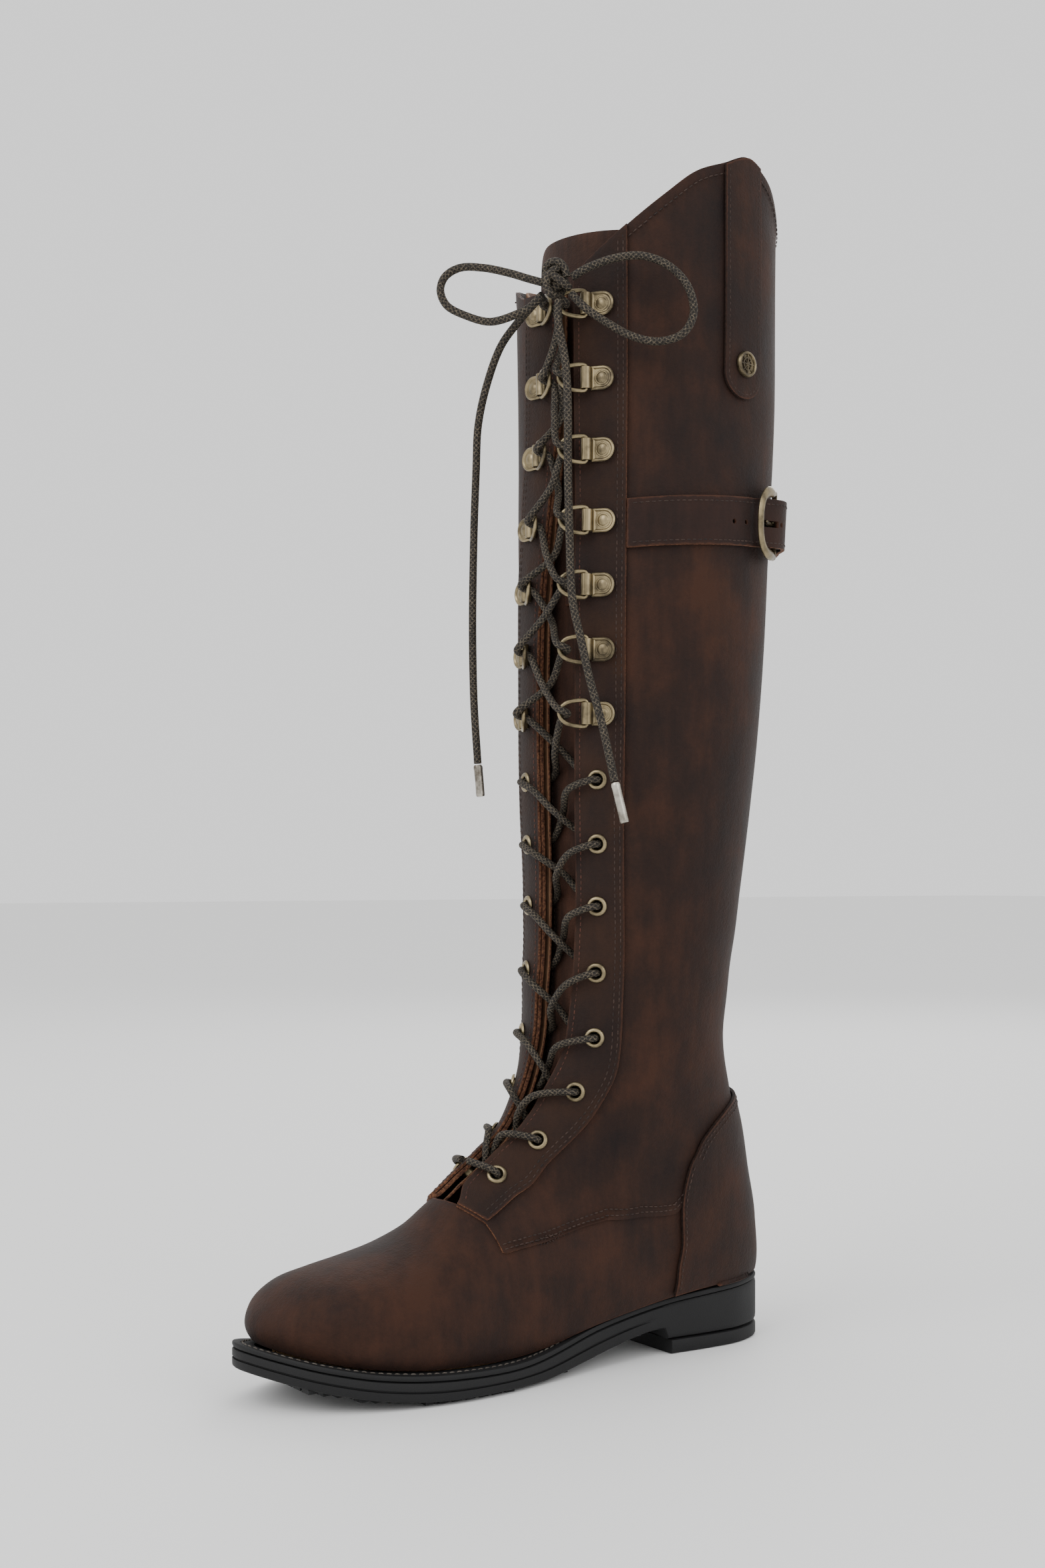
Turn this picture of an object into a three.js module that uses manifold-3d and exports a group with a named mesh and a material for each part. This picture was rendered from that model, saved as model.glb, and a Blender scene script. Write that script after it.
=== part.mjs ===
// A tall lace-up riding boot for the left foot, built as the separate pieces a bootmaker would cut and join.
// Millimetres, +Z up, the toe towards -Y, the lateral (outer) side towards +X, heel tread centre at the origin.
import * as THREE from 'three';
import { mergeVertices } from 'three/addons/utils/BufferGeometryUtils.js';
import Module from 'manifold-3d';

const wasm = await Module();
wasm.setup();

// ---------- Driving dimensions ----------
const bootHeight = 540;
const ankleHeight = 160;
const soleLength = 260;
const soleWidth = 90.6;
const calfWidth = 116;
const gap = 0.3;
const leather = 1.8;
const overlay = 1.3;
const stiffener = 0.9;
const heelStiffener = 0.7;
const liningLeather = 1.1;
const tongueLeather = 1.6;
const facingInset = 0.2;
const tongueHalfWidth = 20;
const tongueTopHalfWidth = 42;
const tongueTop = 504;
const weltThickness = 2.5;
const weltWidth = 9;
const boardInset = 10.5;
const heelBreast = -30;
const topPieceHeight = 6.3;
const laceRadius = 1.75;
const laceHeld = 1.45;
const eyeletHole = 2.45;
const eyeletBarrel = 3.0;
const eyeletFlange = 4.4;
const eyeletSides = 9;
const rivetShank = 1.5;
const ringWire = 0.9;
const ringHeight = 13;
const ringReach = 12;
const ringRestTilt = 25;
const foldBore = 1.7;
const foldOuter = 2.4;
const foldLength = 9.6;
const foldFromEdge = 7;
const plateLength = 12.5;
const plateHalfHeight = 5.3;
const plateThickness = 1.2;
const strapWidth = 20;
const strapThickness = 2;
const strapHeight = 372;
const strapRise = 5;
const buckleWire = 1.3;
const buckleHeight = 29;
const buckleWidth = 23;
const buckleBarOffset = 3.3;
const buckleClearance = 0.4;
const tabHalfWidth = 10.8;
const tabLength = 107;
const studRadius = 5.8;

const drawn = { bootHeight: 540, soleLength: 260, soleWidth: 90.6, calfWidth: 116 };

// ---------- The last: rings from the top line down the leg, round the heel and out to the toe tip ----------
// back and front are [y, z] of a ring's two ends, half is its half width, mid its centre in x, widest the place
// of the widest point between back and front, and blunt the squareness of the back and front halves.
const rings = [
  { back: [35, 560], front: [-88, 560], half: 58, mid: 7, widest: 0.5, blunt: [2, 2] },
  { back: [34.9, 500], front: [-87.7, 500], half: 57.8, mid: 7, widest: 0.5, blunt: [2, 2] },
  { back: [34.4, 440], front: [-87.4, 440], half: 57.5, mid: 7, widest: 0.5, blunt: [2, 2] },
  { back: [31.6, 380], front: [-87.6, 380], half: 56.2, mid: 7.6, widest: 0.5, blunt: [2, 2] },
  { back: [28.6, 330], front: [-87.8, 330], half: 54.4, mid: 8.2, widest: 0.5, blunt: [2, 2] },
  { back: [24.7, 283], front: [-87.4, 283], half: 52.2, mid: 8.5, widest: 0.5, blunt: [2, 2] },
  { back: [21, 250], front: [-87.2, 250], half: 49.8, mid: 8.5, widest: 0.5, blunt: [2, 2] },
  { back: [17.5, 220], front: [-86, 220], half: 46.9, mid: 8, widest: 0.5, blunt: [2, 2] },
  { back: [14.2, 190], front: [-85.6, 190], half: 44.2, mid: 7.5, widest: 0.5, blunt: [2, 2] },
  { back: [11.4, 160], front: [-86, 160], half: 41.3, mid: 6.5, widest: 0.5, blunt: [2, 2] },
  { back: [11, 137], front: [-87.3, 140], half: 39.5, mid: 6, widest: 0.49, blunt: [2, 2] },
  { back: [15, 119], front: [-91, 125], half: 38, mid: 5, widest: 0.47, blunt: [2.1, 2] },
  { back: [20.8, 101], front: [-96.2, 112], half: 36.5, mid: 4, widest: 0.46, blunt: [2.2, 2] },
  { back: [25.8, 80], front: [-103, 102.5], half: 35, mid: 3, widest: 0.45, blunt: [2.3, 2] },
  { back: [31, 55], front: [-110.8, 96.5], half: 34, mid: 2, widest: 0.45, blunt: [2.4, 2] },
  { back: [29.5, 27], front: [-118, 90.5], half: 33.5, mid: 1.5, widest: 0.46, blunt: [2.6, 2] },
  { back: [5, 20], front: [-124.5, 85.5], half: 34, mid: 1.5, widest: 0.47, blunt: [3, 2] },
  { back: [-30, 15], front: [-131, 80], half: 35, mid: 2, widest: 0.46, blunt: [3.4, 2] },
  { back: [-65, 10], front: [-138.5, 74.5], half: 36, mid: 2.5, widest: 0.45, blunt: [3.6, 2.05] },
  { back: [-98, 5.5], front: [-147, 67.5], half: 38, mid: 2.5, widest: 0.44, blunt: [3.6, 2.1] },
  { back: [-128, 4], front: [-158.5, 61.5], half: 41, mid: 2, widest: 0.44, blunt: [3.5, 2.15] },
  { back: [-155, 5], front: [-173, 57], half: 42, mid: 1.5, widest: 0.45, blunt: [3.3, 2.2] },
  { back: [-178, 8], front: [-188, 53.5], half: 39, mid: 0.5, widest: 0.47, blunt: [3, 2.2] },
  { back: [-197, 13], front: [-201, 49.5], half: 32, mid: -2.5, widest: 0.49, blunt: [2.7, 2.2] },
  { back: [-211, 20], front: [-211.5, 42], half: 20, mid: -5.5, widest: 0.53, blunt: [2.3, 2.1] },
  { back: [-218.5, 31], front: [-218.5, 31], half: 0, mid: -7, widest: 0.5, blunt: [2, 2] },
];
const toeTip = rings.length - 1;
const ankleRing = 9;

function lengthwise(y) {
  return y * soleLength / drawn.soleLength;
}

function upwards(z) {
  if (z <= ankleHeight) return z;
  return ankleHeight + (z - ankleHeight) * (bootHeight - ankleHeight) / (drawn.bootHeight - ankleHeight);
}

function ringValues(ring, index) {
  const legShare = THREE.MathUtils.clamp((ankleRing + 3 - index) / 4, 0, 1);
  const girth = THREE.MathUtils.lerp(soleWidth / drawn.soleWidth, calfWidth / drawn.calfWidth, legShare);
  return [
    lengthwise(ring.back[0]), upwards(ring.back[1]), lengthwise(ring.front[0]), upwards(ring.front[1]),
    ring.half * girth, ring.mid, ring.widest, ring.blunt[0], ring.blunt[1],
  ];
}

const values = rings.map(ringValues);
const beforeTip = values[toeTip - 1];
const beyondTip = [
  beforeTip[2], beforeTip[3], beforeTip[0], beforeTip[1],
  -beforeTip[4], beforeTip[5], 1 - beforeTip[6], beforeTip[8], beforeTip[7],
];
const aboveTop = values[0].map((value, k) => 2 * value - values[1][k]);
const track = [aboveTop, ...values, beyondTip];

function ringAt(u) {
  const place = THREE.MathUtils.clamp(u, 0, toeTip - 1e-6);
  const i = Math.floor(place);
  const t = place - i;
  return track[i].map((p0, k) => {
    const [p1, p2, p3] = [track[i + 1][k], track[i + 2][k], track[i + 3][k]];
    const slope = p2 - p0;
    const bend = 2 * p0 - 5 * p1 + 4 * p2 - p3;
    const twist = 3 * p1 - p0 - 3 * p2 + p3;
    return 0.5 * (2 * p1 + slope * t + bend * t * t + twist * t * t * t);
  });
}

// A point of the last: u counts rings down from the top, angle is in degrees from the front towards lateral.
function lastPoint(u, angle) {
  const [backY, backZ, frontY, frontZ, half, mid, widest, bluntBack, bluntFront] = ringAt(u);
  const c = Math.cos(THREE.MathUtils.degToRad(angle));
  const s = Math.sin(THREE.MathUtils.degToRad(angle));
  const blunt = THREE.MathUtils.lerp(bluntBack, bluntFront, 0.5 + 0.5 * c);
  const reach = (Math.abs(c) ** blunt + Math.abs(s) ** blunt) ** (-1 / blunt);
  const forward = c * reach;
  const share = widest + forward * (forward > 0 ? 1 - widest : widest);
  return new THREE.Vector3(
    mid + half * s * reach,
    THREE.MathUtils.lerp(backY, frontY, share),
    THREE.MathUtils.lerp(backZ, frontZ, share),
  );
}

// The chart is the last's skin laid flat round the toe tip: it has no pole, so the toe stays smooth in it.
function toChart([u, angle]) {
  const turn = THREE.MathUtils.degToRad(angle);
  return [(toeTip - u) * Math.cos(turn), (toeTip - u) * Math.sin(turn)];
}

function fromChart([a, b]) {
  return [toeTip - Math.hypot(a, b), THREE.MathUtils.radToDeg(Math.atan2(b, a))];
}

function lastNormal(u, angle) {
  const [a, b] = toChart([u, angle]);
  const step = 0.02;
  const alongA = lastPoint(...fromChart([a + step, b])).sub(lastPoint(...fromChart([a - step, b])));
  const alongB = lastPoint(...fromChart([a, b + step])).sub(lastPoint(...fromChart([a, b - step])));
  return alongB.cross(alongA).normalize();
}

function skin([u, angle], offset) {
  return lastPoint(u, angle).addScaledVector(lastNormal(u, angle), offset);
}

// ---------- Small helpers ----------
// A smooth curve of values through [place, value] knots.
function through(knots) {
  const slopes = knots.map((knot, i) => {
    const a = knots[Math.max(i - 1, 0)];
    const b = knots[Math.min(i + 1, knots.length - 1)];
    return (b[1] - a[1]) / (b[0] - a[0]);
  });
  return (place) => {
    if (place <= knots[0][0]) return knots[0][1];
    const i = knots.findIndex((knot) => place <= knot[0]);
    if (i < 0) return knots[knots.length - 1][1];
    const width = knots[i][0] - knots[i - 1][0];
    const t = (place - knots[i - 1][0]) / width;
    const ease = t * t * (3 - 2 * t);
    const out = t * (1 - t) * (1 - t) * width * slopes[i - 1];
    const into = t * t * (t - 1) * width * slopes[i];
    return THREE.MathUtils.lerp(knots[i - 1][1], knots[i][1], ease) + out + into;
  };
}

function straightThrough(knots) {
  return (place) => {
    const i = THREE.MathUtils.clamp(knots.findIndex((knot) => place <= knot[0]), 1, knots.length - 1);
    const [from, to] = [knots[i - 1], knots[i]];
    return THREE.MathUtils.lerp(from[1], to[1], THREE.MathUtils.clamp((place - from[0]) / (to[0] - from[0]), 0, 1));
  };
}

// The place between low and high where the test stops being true.
function lastTrue(low, high, test) {
  let [yes, no] = [low, high];
  for (let i = 0; i < 40; i += 1) {
    const middle = (yes + no) / 2;
    if (test(middle)) yes = middle;
    else no = middle;
  }
  return yes;
}

function signedVolume(geometry) {
  const position = geometry.getAttribute('position');
  const index = geometry.getIndex().array;
  const [a, b, c] = [new THREE.Vector3(), new THREE.Vector3(), new THREE.Vector3()];
  let sum = 0;
  for (let i = 0; i < index.length; i += 3) {
    a.fromBufferAttribute(position, index[i]);
    b.fromBufferAttribute(position, index[i + 1]);
    c.fromBufferAttribute(position, index[i + 2]);
    sum += a.dot(b.cross(c)) / 6;
  }
  return sum;
}

function meshFrom(points, triangles) {
  const geometry = new THREE.BufferGeometry();
  geometry.setAttribute('position', new THREE.Float32BufferAttribute(points.flatMap((p) => p.toArray()), 3));
  geometry.setIndex(triangles);
  if (signedVolume(geometry) < 0) {
    for (let i = 0; i < triangles.length; i += 3) {
      [triangles[i], triangles[i + 1]] = [triangles[i + 1], triangles[i]];
    }
    geometry.setIndex(triangles);
  }
  return geometry;
}

// A closed solid from a stack of closed sections that all have the same number of points.
function stacked(sections, closedLoop = false) {
  const count = sections[0].length;
  const points = sections.flat();
  const triangles = [];
  const last = closedLoop ? sections.length : sections.length - 1;
  for (let i = 0; i < last; i += 1) {
    const next = (i + 1) % sections.length;
    for (let j = 0; j < count; j += 1) {
      const k = (j + 1) % count;
      const [p, q, r, s] = [i * count + j, i * count + k, next * count + k, next * count + j];
      triangles.push(p, q, r, p, r, s);
    }
  }
  if (!closedLoop) {
    const end = (sections.length - 1) * count;
    for (let j = 1; j < count - 1; j += 1) {
      triangles.push(0, j + 1, j, end, end + j, end + j + 1);
    }
  }
  return meshFrom(points, triangles);
}

// A piece of leather: the unit square (s, t) is placed on the last and given an inner and an outer face.
function sheet(place, across, down, inner, outer) {
  const innerOffset = typeof inner === 'function' ? inner : () => inner;
  const outerOffset = typeof outer === 'function' ? outer : () => outer;
  const sections = [];
  for (let j = 0; j <= down; j += 1) {
    const top = [];
    const bottom = [];
    for (let i = 0; i <= across; i += 1) {
      const [s, t] = [i / across, j / down];
      const spot = place(s, t);
      top.push(skin(spot, outerOffset(s, t)));
      bottom.push(skin(spot, innerOffset(s, t)));
    }
    sections.push([top, bottom]);
  }
  const width = across + 1;
  const points = [...sections.flatMap((row) => row[0]), ...sections.flatMap((row) => row[1])];
  const under = width * (down + 1);
  const triangles = [];
  const quad = (p, q, r, s) => triangles.push(p, q, r, p, r, s);
  for (let j = 0; j < down; j += 1) {
    for (let i = 0; i < across; i += 1) {
      const p = j * width + i;
      quad(p, p + 1, p + width + 1, p + width);
      quad(under + p, under + p + width, under + p + width + 1, under + p + 1);
    }
  }
  for (let i = 0; i < across; i += 1) {
    quad(i + 1, i, under + i, under + i + 1);
    const p = down * width + i;
    quad(p, p + 1, under + p + 1, under + p);
  }
  for (let j = 0; j < down; j += 1) {
    const p = j * width;
    quad(p, p + width, under + p + width, under + p);
    const q = p + across;
    quad(q + width, q, under + q, under + q + width);
  }
  return meshFrom(points, triangles);
}

function toSolid(geometry) {
  const bare = geometry.clone();
  bare.deleteAttribute('normal');
  bare.deleteAttribute('uv');
  const merged = mergeVertices(bare, 1e-4);
  return new wasm.Manifold(new wasm.Mesh({
    numProp: 3,
    vertProperties: new Float32Array(merged.getAttribute('position').array),
    triVerts: new Uint32Array(merged.getIndex().array),
  }));
}

function toGeometry(solid) {
  const mesh = solid.getMesh();
  const geometry = new THREE.BufferGeometry();
  geometry.setAttribute('position', new THREE.BufferAttribute(mesh.vertProperties, 3));
  geometry.setIndex(new THREE.BufferAttribute(mesh.triVerts, 1));
  return geometry;
}

function joined(geometries) {
  return toGeometry(geometries.map(toSolid).reduce((all, one) => all.add(one)));
}

function cutBy(geometry, cutters) {
  return toGeometry(cutters.map(toSolid).reduce((all, one) => all.subtract(one), toSolid(geometry)));
}

// A tube whose sections stand exactly at the given points.
class PointByPoint extends THREE.CatmullRomCurve3 {
  getUtoTmapping(u) {
    return u;
  }
}

function tubeOn(path, radius, steps, sides) {
  const outline = new THREE.Shape();
  for (let i = 0; i < sides; i += 1) {
    const turn = 2 * Math.PI * i / sides;
    const corner = [radius * Math.cos(turn), radius * Math.sin(turn)];
    if (i === 0) outline.moveTo(...corner);
    else outline.lineTo(...corner);
  }
  outline.closePath();
  return new THREE.ExtrudeGeometry(outline, { steps, extrudePath: path, bevelEnabled: false });
}

function tubeAlong(points, radius, steps, sides) {
  return tubeOn(new THREE.CatmullRomCurve3(points, false, 'centripetal'), radius, steps, sides);
}

// ---------- Landmarks on the last ----------
const openingCentre = through([
  [0, 20.5], [2.2, 20.5], [3, 18], [3.7, 15.5], [4.8, 14], [6, 15], [8, 15], [9.7, 12.5], [11.5, 6], [13, 3.5], [19, 3],
]);
const halfOpening = through([
  [0, 4.2], [2.2, 4.2], [3.2, 8], [4.4, 10.6], [6, 10], [8, 9.8], [9.7, 9], [11.5, 6.5], [13, 5], [16.3, 5.4], [17.4, 10], [19, 12],
]);
const facingRear = through([
  [0, 48], [2.7, 48.5], [5, 50], [7, 52.5], [9, 57], [10.4, 57], [11.6, 51], [13.3, 42], [15.3, 40], [17.6, 41],
]);
const topLine = through([
  [0, 478], [20, 478], [30, 487], [38, 494], [47, 502], [64, 517], [77, 528], [91, 534.5], [103, 540], [112, 538],
  [125, 533], [138, 524], [160, 516], [180, 512], [220, 507], [260, 502], [300, 495], [330, 488], [350, 479], [380, 477],
]);
const vampSeam = straightThrough([
  [0, 17.6], [19, 17.5], [41, 17.55], [50, 17.8], [60, 18.1], [66, 16.95], [71, 15.2], [80, 14.7], [93, 14.35],
  [101, 13.7], [107, 12.9], [120, 12.15], [141, 11.75], [180, 11.45],
]);
const facingShares = [0, 0.34, 0.67, 1];
const quarterAngles = [60, 66, 71, 80, 93, 107, 122, 138, 152, 166, 179.6];
const quarterRows = [0, 2, 4, 6, 7.6, 8.8, 9.7, 10.5, 11.4, 12.5, 13.7, 15, 16.3, 17.5];
const betweenColumns = 2;
const vampColumns = 24;
const vampRows = 6;

function ringAtHeight(z) {
  return lastTrue(0, ankleRing + 1, (u) => ringAt(u)[3] > z);
}

function topRing(angle) {
  const turned = ((angle % 360) + 360) % 360;
  return ringAtHeight(upwards(topLine(turned < 15 ? turned + 360 : turned)));
}

function across(u, mm) {
  return openingCentre(u) + THREE.MathUtils.radToDeg(mm / ringAt(u)[4]);
}

// ---------- The sole ----------
const lateralEdge = new THREE.SplineCurve([
  [0, 34], [19.5, 28.5], [29.5, 12], [31, -8], [30, -30], [33, -64], [40, -97], [46, -125], [47, -152], [41, -182],
  [27, -209], [5, -225.4], [-6, -226.2],
].map(([x, y]) => new THREE.Vector2(x * soleWidth / drawn.soleWidth, lengthwise(y))));
const medialEdge = new THREE.SplineCurve([
  [0, 34], [-19.5, 28.5], [-29.5, 12], [-31, -8], [-28, -35], [-29, -68], [-37, -104], [-43, -137], [-43, -165],
  [-36, -197], [-19, -219.6], [-6, -226.2],
].map(([x, y]) => new THREE.Vector2(x * soleWidth / drawn.soleWidth, lengthwise(y))));

const soleTop = through([
  [-226, 26.5], [-218, 24], [-200, 19], [-180, 15], [-150, 12.3], [-110, 12.3], [-70, 20], [-25, 26], [34, 30],
].map(([y, z]) => [lengthwise(y), z]));
const soleSpring = through([
  [-226, 14.5], [-205, 8.2], [-185, 3.6], [-165, 0.9], [-145, 0], [-105, 0], [-80, 3.5], [-45, 10], [-30, 11],
].map(([y, z]) => [lengthwise(y), z]));
const soleBottom = (y) => Math.max(0, soleSpring(y));

function edgeX(edge, y) {
  return edge.getPoint(lastTrue(0, 1, (t) => edge.getPoint(t).y > y)).x;
}

function outline(inset, halfWidth = Infinity) {
  const outward = (y) => y + (y > 0 ? inset : -inset);
  return [
    (y) => Math.min(edgeX(lateralEdge, outward(y)) - inset, halfWidth),
    (y) => Math.max(edgeX(medialEdge, outward(y)) + inset, -halfWidth),
  ];
}

// A layer of the sole between two heights and two side edges.
function soleLayer(from, to, rows, [lateral, medial], bottom, top) {
  const sections = [];
  for (let i = 0; i <= rows; i += 1) {
    const y = from + (to - from) * (1 - Math.cos(Math.PI * i / rows)) / 2;
    sections.push([
      new THREE.Vector3(lateral(y), y, bottom(y)), new THREE.Vector3(lateral(y), y, top(y)),
      new THREE.Vector3(medial(y), y, top(y)), new THREE.Vector3(medial(y), y, bottom(y)),
    ]);
  }
  return stacked(sections);
}

const heelBack = lengthwise(34) - 0.25;
const toeFront = lengthwise(-226.2) + 0.25;
const breast = lengthwise(heelBreast);
const unitTop = (y) => soleTop(y) - weltThickness - gap;

function outsoleUnit() {
  const lower = topPieceHeight + gap;
  const heel = soleLayer(heelBack, breast, 10, outline(0), () => lower, unitTop);
  const front = soleLayer(breast + 1, toeFront, 24, outline(0), soleBottom, unitTop);
  return joined([heel, front]);
}

function welt() {
  const sections = [];
  const steps = 44;
  for (let i = 0; i < steps; i += 1) {
    const t = i / steps;
    const edge = t < 0.5 ? lateralEdge : medialEdge;
    const along = t < 0.5 ? 2 * t : 2 - 2 * t;
    const outer = edge.getPointAt(along);
    const tangent = edge.getTangentAt(THREE.MathUtils.clamp(along, 0.012, 0.988));
    const inward = new THREE.Vector2(tangent.y, -tangent.x).multiplyScalar(t < 0.5 ? 1 : -1);
    const inner = outer.clone().addScaledVector(inward, weltWidth);
    const [high, highInner] = [soleTop(outer.y), soleTop(inner.y)];
    sections.push([
      new THREE.Vector3(outer.x, outer.y, high - weltThickness), new THREE.Vector3(outer.x, outer.y, high),
      new THREE.Vector3(inner.x, inner.y, highInner), new THREE.Vector3(inner.x, inner.y, highInner - weltThickness),
    ]);
  }
  return stacked(sections, true);
}

// ---------- Where the upper meets the welt ----------
function clearOfWelt(point, clearance) {
  return point.z > soleTop(point.y) + clearance;
}

function featherAngle(u, side, clearance = 2 * gap) {
  return side * lastTrue(90, 180, (angle) => clearOfWelt(lastPoint(u, side * angle), clearance));
}

function featherEnd(near, far, clearance) {
  return lastTrue(near, far, (u) => clearOfWelt(lastPoint(u, 180), clearance));
}

const heelFeather = featherEnd(14, 15.5, 2 * gap);
const toeFeather = featherEnd(toeTip - 0.01, toeTip - 1, 2 * gap);
const vampBackRing = 16.3;

// ---------- Upper ----------
// Every leather that lies over or under a quarter uses its columns and rows, so the layers never meet.
function quarterAngle(side, column, u) {
  const zone = facingShares.length - 1;
  const front = across(u, side * (halfOpening(u) + facingInset));
  const rear = openingCentre(u) + side * (facingRear(u) - openingCentre(u));
  if (column <= zone) return THREE.MathUtils.lerp(front, rear, facingShares[column]);
  const beyond = column - zone - betweenColumns - 1;
  if (beyond >= 0) return side * quarterAngles[beyond];
  return THREE.MathUtils.lerp(rear, side * quarterAngles[0], (column - zone) / (betweenColumns + 1));
}

function quarterSpot(side, column, row) {
  const share = quarterRows[row] / quarterRows[quarterRows.length - 1];
  const top = topRing(quarterAngle(side, column, 1.3));
  const bottom = vampSeam(Math.abs(quarterAngle(side, column, 17.6))) - 0.05;
  const u = THREE.MathUtils.lerp(top, bottom, share);
  return [u, quarterAngle(side, column, u)];
}

function quarterGrid(side, columns, rows) {
  return (s, t) => {
    const column = columns[Math.round(s * (columns.length - 1))];
    return quarterSpot(side, column, rows[Math.round(t * (rows.length - 1))]);
  };
}

function vampSeamPoint(t) {
  const place = Math.abs(t);
  const side = Math.sign(t) || 1;
  const stops = [0, 20, 38, 49, 60, 66, 71, 75, 80, 86, 93, 97, 101];
  const along = place * (stops.length - 1);
  const i = Math.min(Math.floor(along + 1e-9), stops.length - 2);
  const angle = THREE.MathUtils.lerp(stops[i], stops[i + 1], along - i);
  return [vampSeam(angle) + 0.05, side * (angle + 0.3 * THREE.MathUtils.smoothstep(angle, 50, 62))];
}

function vampPlace(fromTurn = -1, toTurn = 1, from = 0) {
  return (s, t) => {
    const turn = THREE.MathUtils.lerp(fromTurn, toTurn, s);
    const side = turn < 0 ? -1 : 1;
    const u = THREE.MathUtils.lerp(toeFeather, vampBackRing, Math.abs(turn) ** 1.35);
    const edgeAngle = THREE.MathUtils.clamp(featherAngle(u, side), -179.6, 179.6);
    const a = toChart(vampSeamPoint(turn));
    const b = toChart([u, edgeAngle]);
    const share = THREE.MathUtils.lerp(from, 1, t);
    return fromChart([THREE.MathUtils.lerp(a[0], b[0], share), THREE.MathUtils.lerp(a[1], b[1], share)]);
  };
}

const counterTop = through([[90, 13.4], [98, 13], [105, 12.35], [120, 11.7], [141, 11.3], [180, 11]]);

function heelPatch(frontAngles, frontRings, topRingAt, backBottom, clearance) {
  return (s, t) => {
    const turn = 2 * s - 1;
    const side = turn < 0 ? -1 : 1;
    const share = 1 - Math.abs(turn);
    const weights = [(1 - t) * (1 - 2 * t), 4 * t * (1 - t), t * (2 * t - 1)];
    const blend = (list) => list.reduce((sum, value, k) => sum + value * weights[k], 0);
    const topAngle = THREE.MathUtils.lerp(frontAngles[0], 180, share);
    const bottomRing = THREE.MathUtils.lerp(frontRings[2], backBottom, share);
    const angles = [
      topAngle, THREE.MathUtils.lerp(frontAngles[1], 180, share), Math.abs(featherAngle(bottomRing, side, clearance)),
    ];
    const places = [topRingAt(topAngle), THREE.MathUtils.lerp(frontRings[1], 13.2, share), bottomRing];
    return [blend(places), side * blend(angles)];
  };
}

const counterPlace = heelPatch([98, 98], [13, 14.85, 16.5], counterTop, featherEnd(14, 15.5, 2.2), 2.2);
const heelInside = heelPatch([109, 113], [13, 14.85, 16.05], (angle) => vampSeam(angle) + 0.05, heelFeather, 2 * gap);

function tonguePlace(s, t) {
  const u = THREE.MathUtils.lerp(ringAtHeight(upwards(tongueTop)), 18.1, t);
  const spread = (tongueTopHalfWidth - tongueHalfWidth) * (1 - THREE.MathUtils.smoothstep(t, 0, 0.3));
  const width = Math.min(tongueHalfWidth, 0.55 * ringAt(u)[4]) + spread;
  return [u, across(u, width * (2 * s - 1))];
}

function strip(centre, halfWidth, top, bottom) {
  return (s, t) => {
    const u = THREE.MathUtils.lerp(top, bottom, t);
    const width = typeof halfWidth === 'function' ? halfWidth(t) : halfWidth;
    return [u, centre + THREE.MathUtils.radToDeg(width / ringAt(u)[4]) * (2 * s - 1)];
  };
}

// ---------- Layer offsets from the last ----------
const overlayInner = gap;
const overlayOuter = gap + overlay;
const hardwareSeat = overlayOuter + 1.6 * gap;
const innerLayerOuter = -leather - 3 * gap;
const innerLayerInner = innerLayerOuter - stiffener;
const liningOuter = innerLayerInner - 2 * gap;
const liningInner = liningOuter - liningLeather;
const laceInside = liningInner - 3 * gap - laceHeld;
const tongueOuter = laceInside - laceHeld - 3 * gap;
const tongueInner = tongueOuter - tongueLeather;

// ---------- Lace hardware ----------
const eyelets = [
  [15.16, 12.3], [12.95, 15.4], [11.1, 20], [9.6, 21.3], [8.46, 20], [7.5, 19.6], [6.58, 20], [5.66, 20.7],
];
const eyeletLine = through([...eyelets].reverse());
const hooks = [4.85, 4.26, 3.68, 3.12, 2.58, 2.07, 1.53];

function seat([u, angle], offset, turn) {
  const up = lastPoint(u - 0.02, angle).sub(lastPoint(u + 0.02, angle)).normalize();
  const normal = lastNormal(u, angle);
  const side = new THREE.Vector3().crossVectors(up, normal).normalize();
  const matrix = new THREE.Matrix4().makeBasis(side, new THREE.Vector3().crossVectors(normal, side), normal);
  matrix.multiply(new THREE.Matrix4().makeRotationZ(turn));
  matrix.setPosition(skin([u, angle], offset));
  return matrix;
}

// Local axes of every lace fitting: +X away from the opening, +Z off the leather.
function eyeletSeat([u, mm], side) {
  return seat([u, across(u, side * mm)], 0, side > 0 ? 0 : Math.PI);
}

function hookFold(u) {
  return halfOpening(u) + foldFromEdge;
}

function hookSeat(u, side) {
  return seat([u, across(u, side * hookFold(u))], hardwareSeat, side > 0 ? 0 : Math.PI);
}

function upright(geometry) {
  return geometry.rotateX(Math.PI / 2);
}

function peg(radius, low, high, sides) {
  const geometry = upright(new THREE.CylinderGeometry(radius, radius, high - low, sides));
  return geometry.translate(0, 0, (low + high) / 2);
}

// A hole's cutter with few sides, its flats still clear of the round pin inside it.
function hole(radius, low, high, sides) {
  return peg((radius + gap) / Math.cos(Math.PI / sides), low, high, sides);
}

function eyeletShape() {
  const profile = [
    [eyeletHole, liningInner], [eyeletBarrel, liningInner], [eyeletBarrel, hardwareSeat], [eyeletFlange, hardwareSeat],
    [eyeletFlange - 0.6, hardwareSeat + 0.8], [eyeletHole + 0.3, hardwareSeat + 0.8], [eyeletHole, liningInner],
  ].map(([r, z]) => new THREE.Vector2(r, z));
  return upright(new THREE.LatheGeometry(profile, eyeletSides));
}

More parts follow.
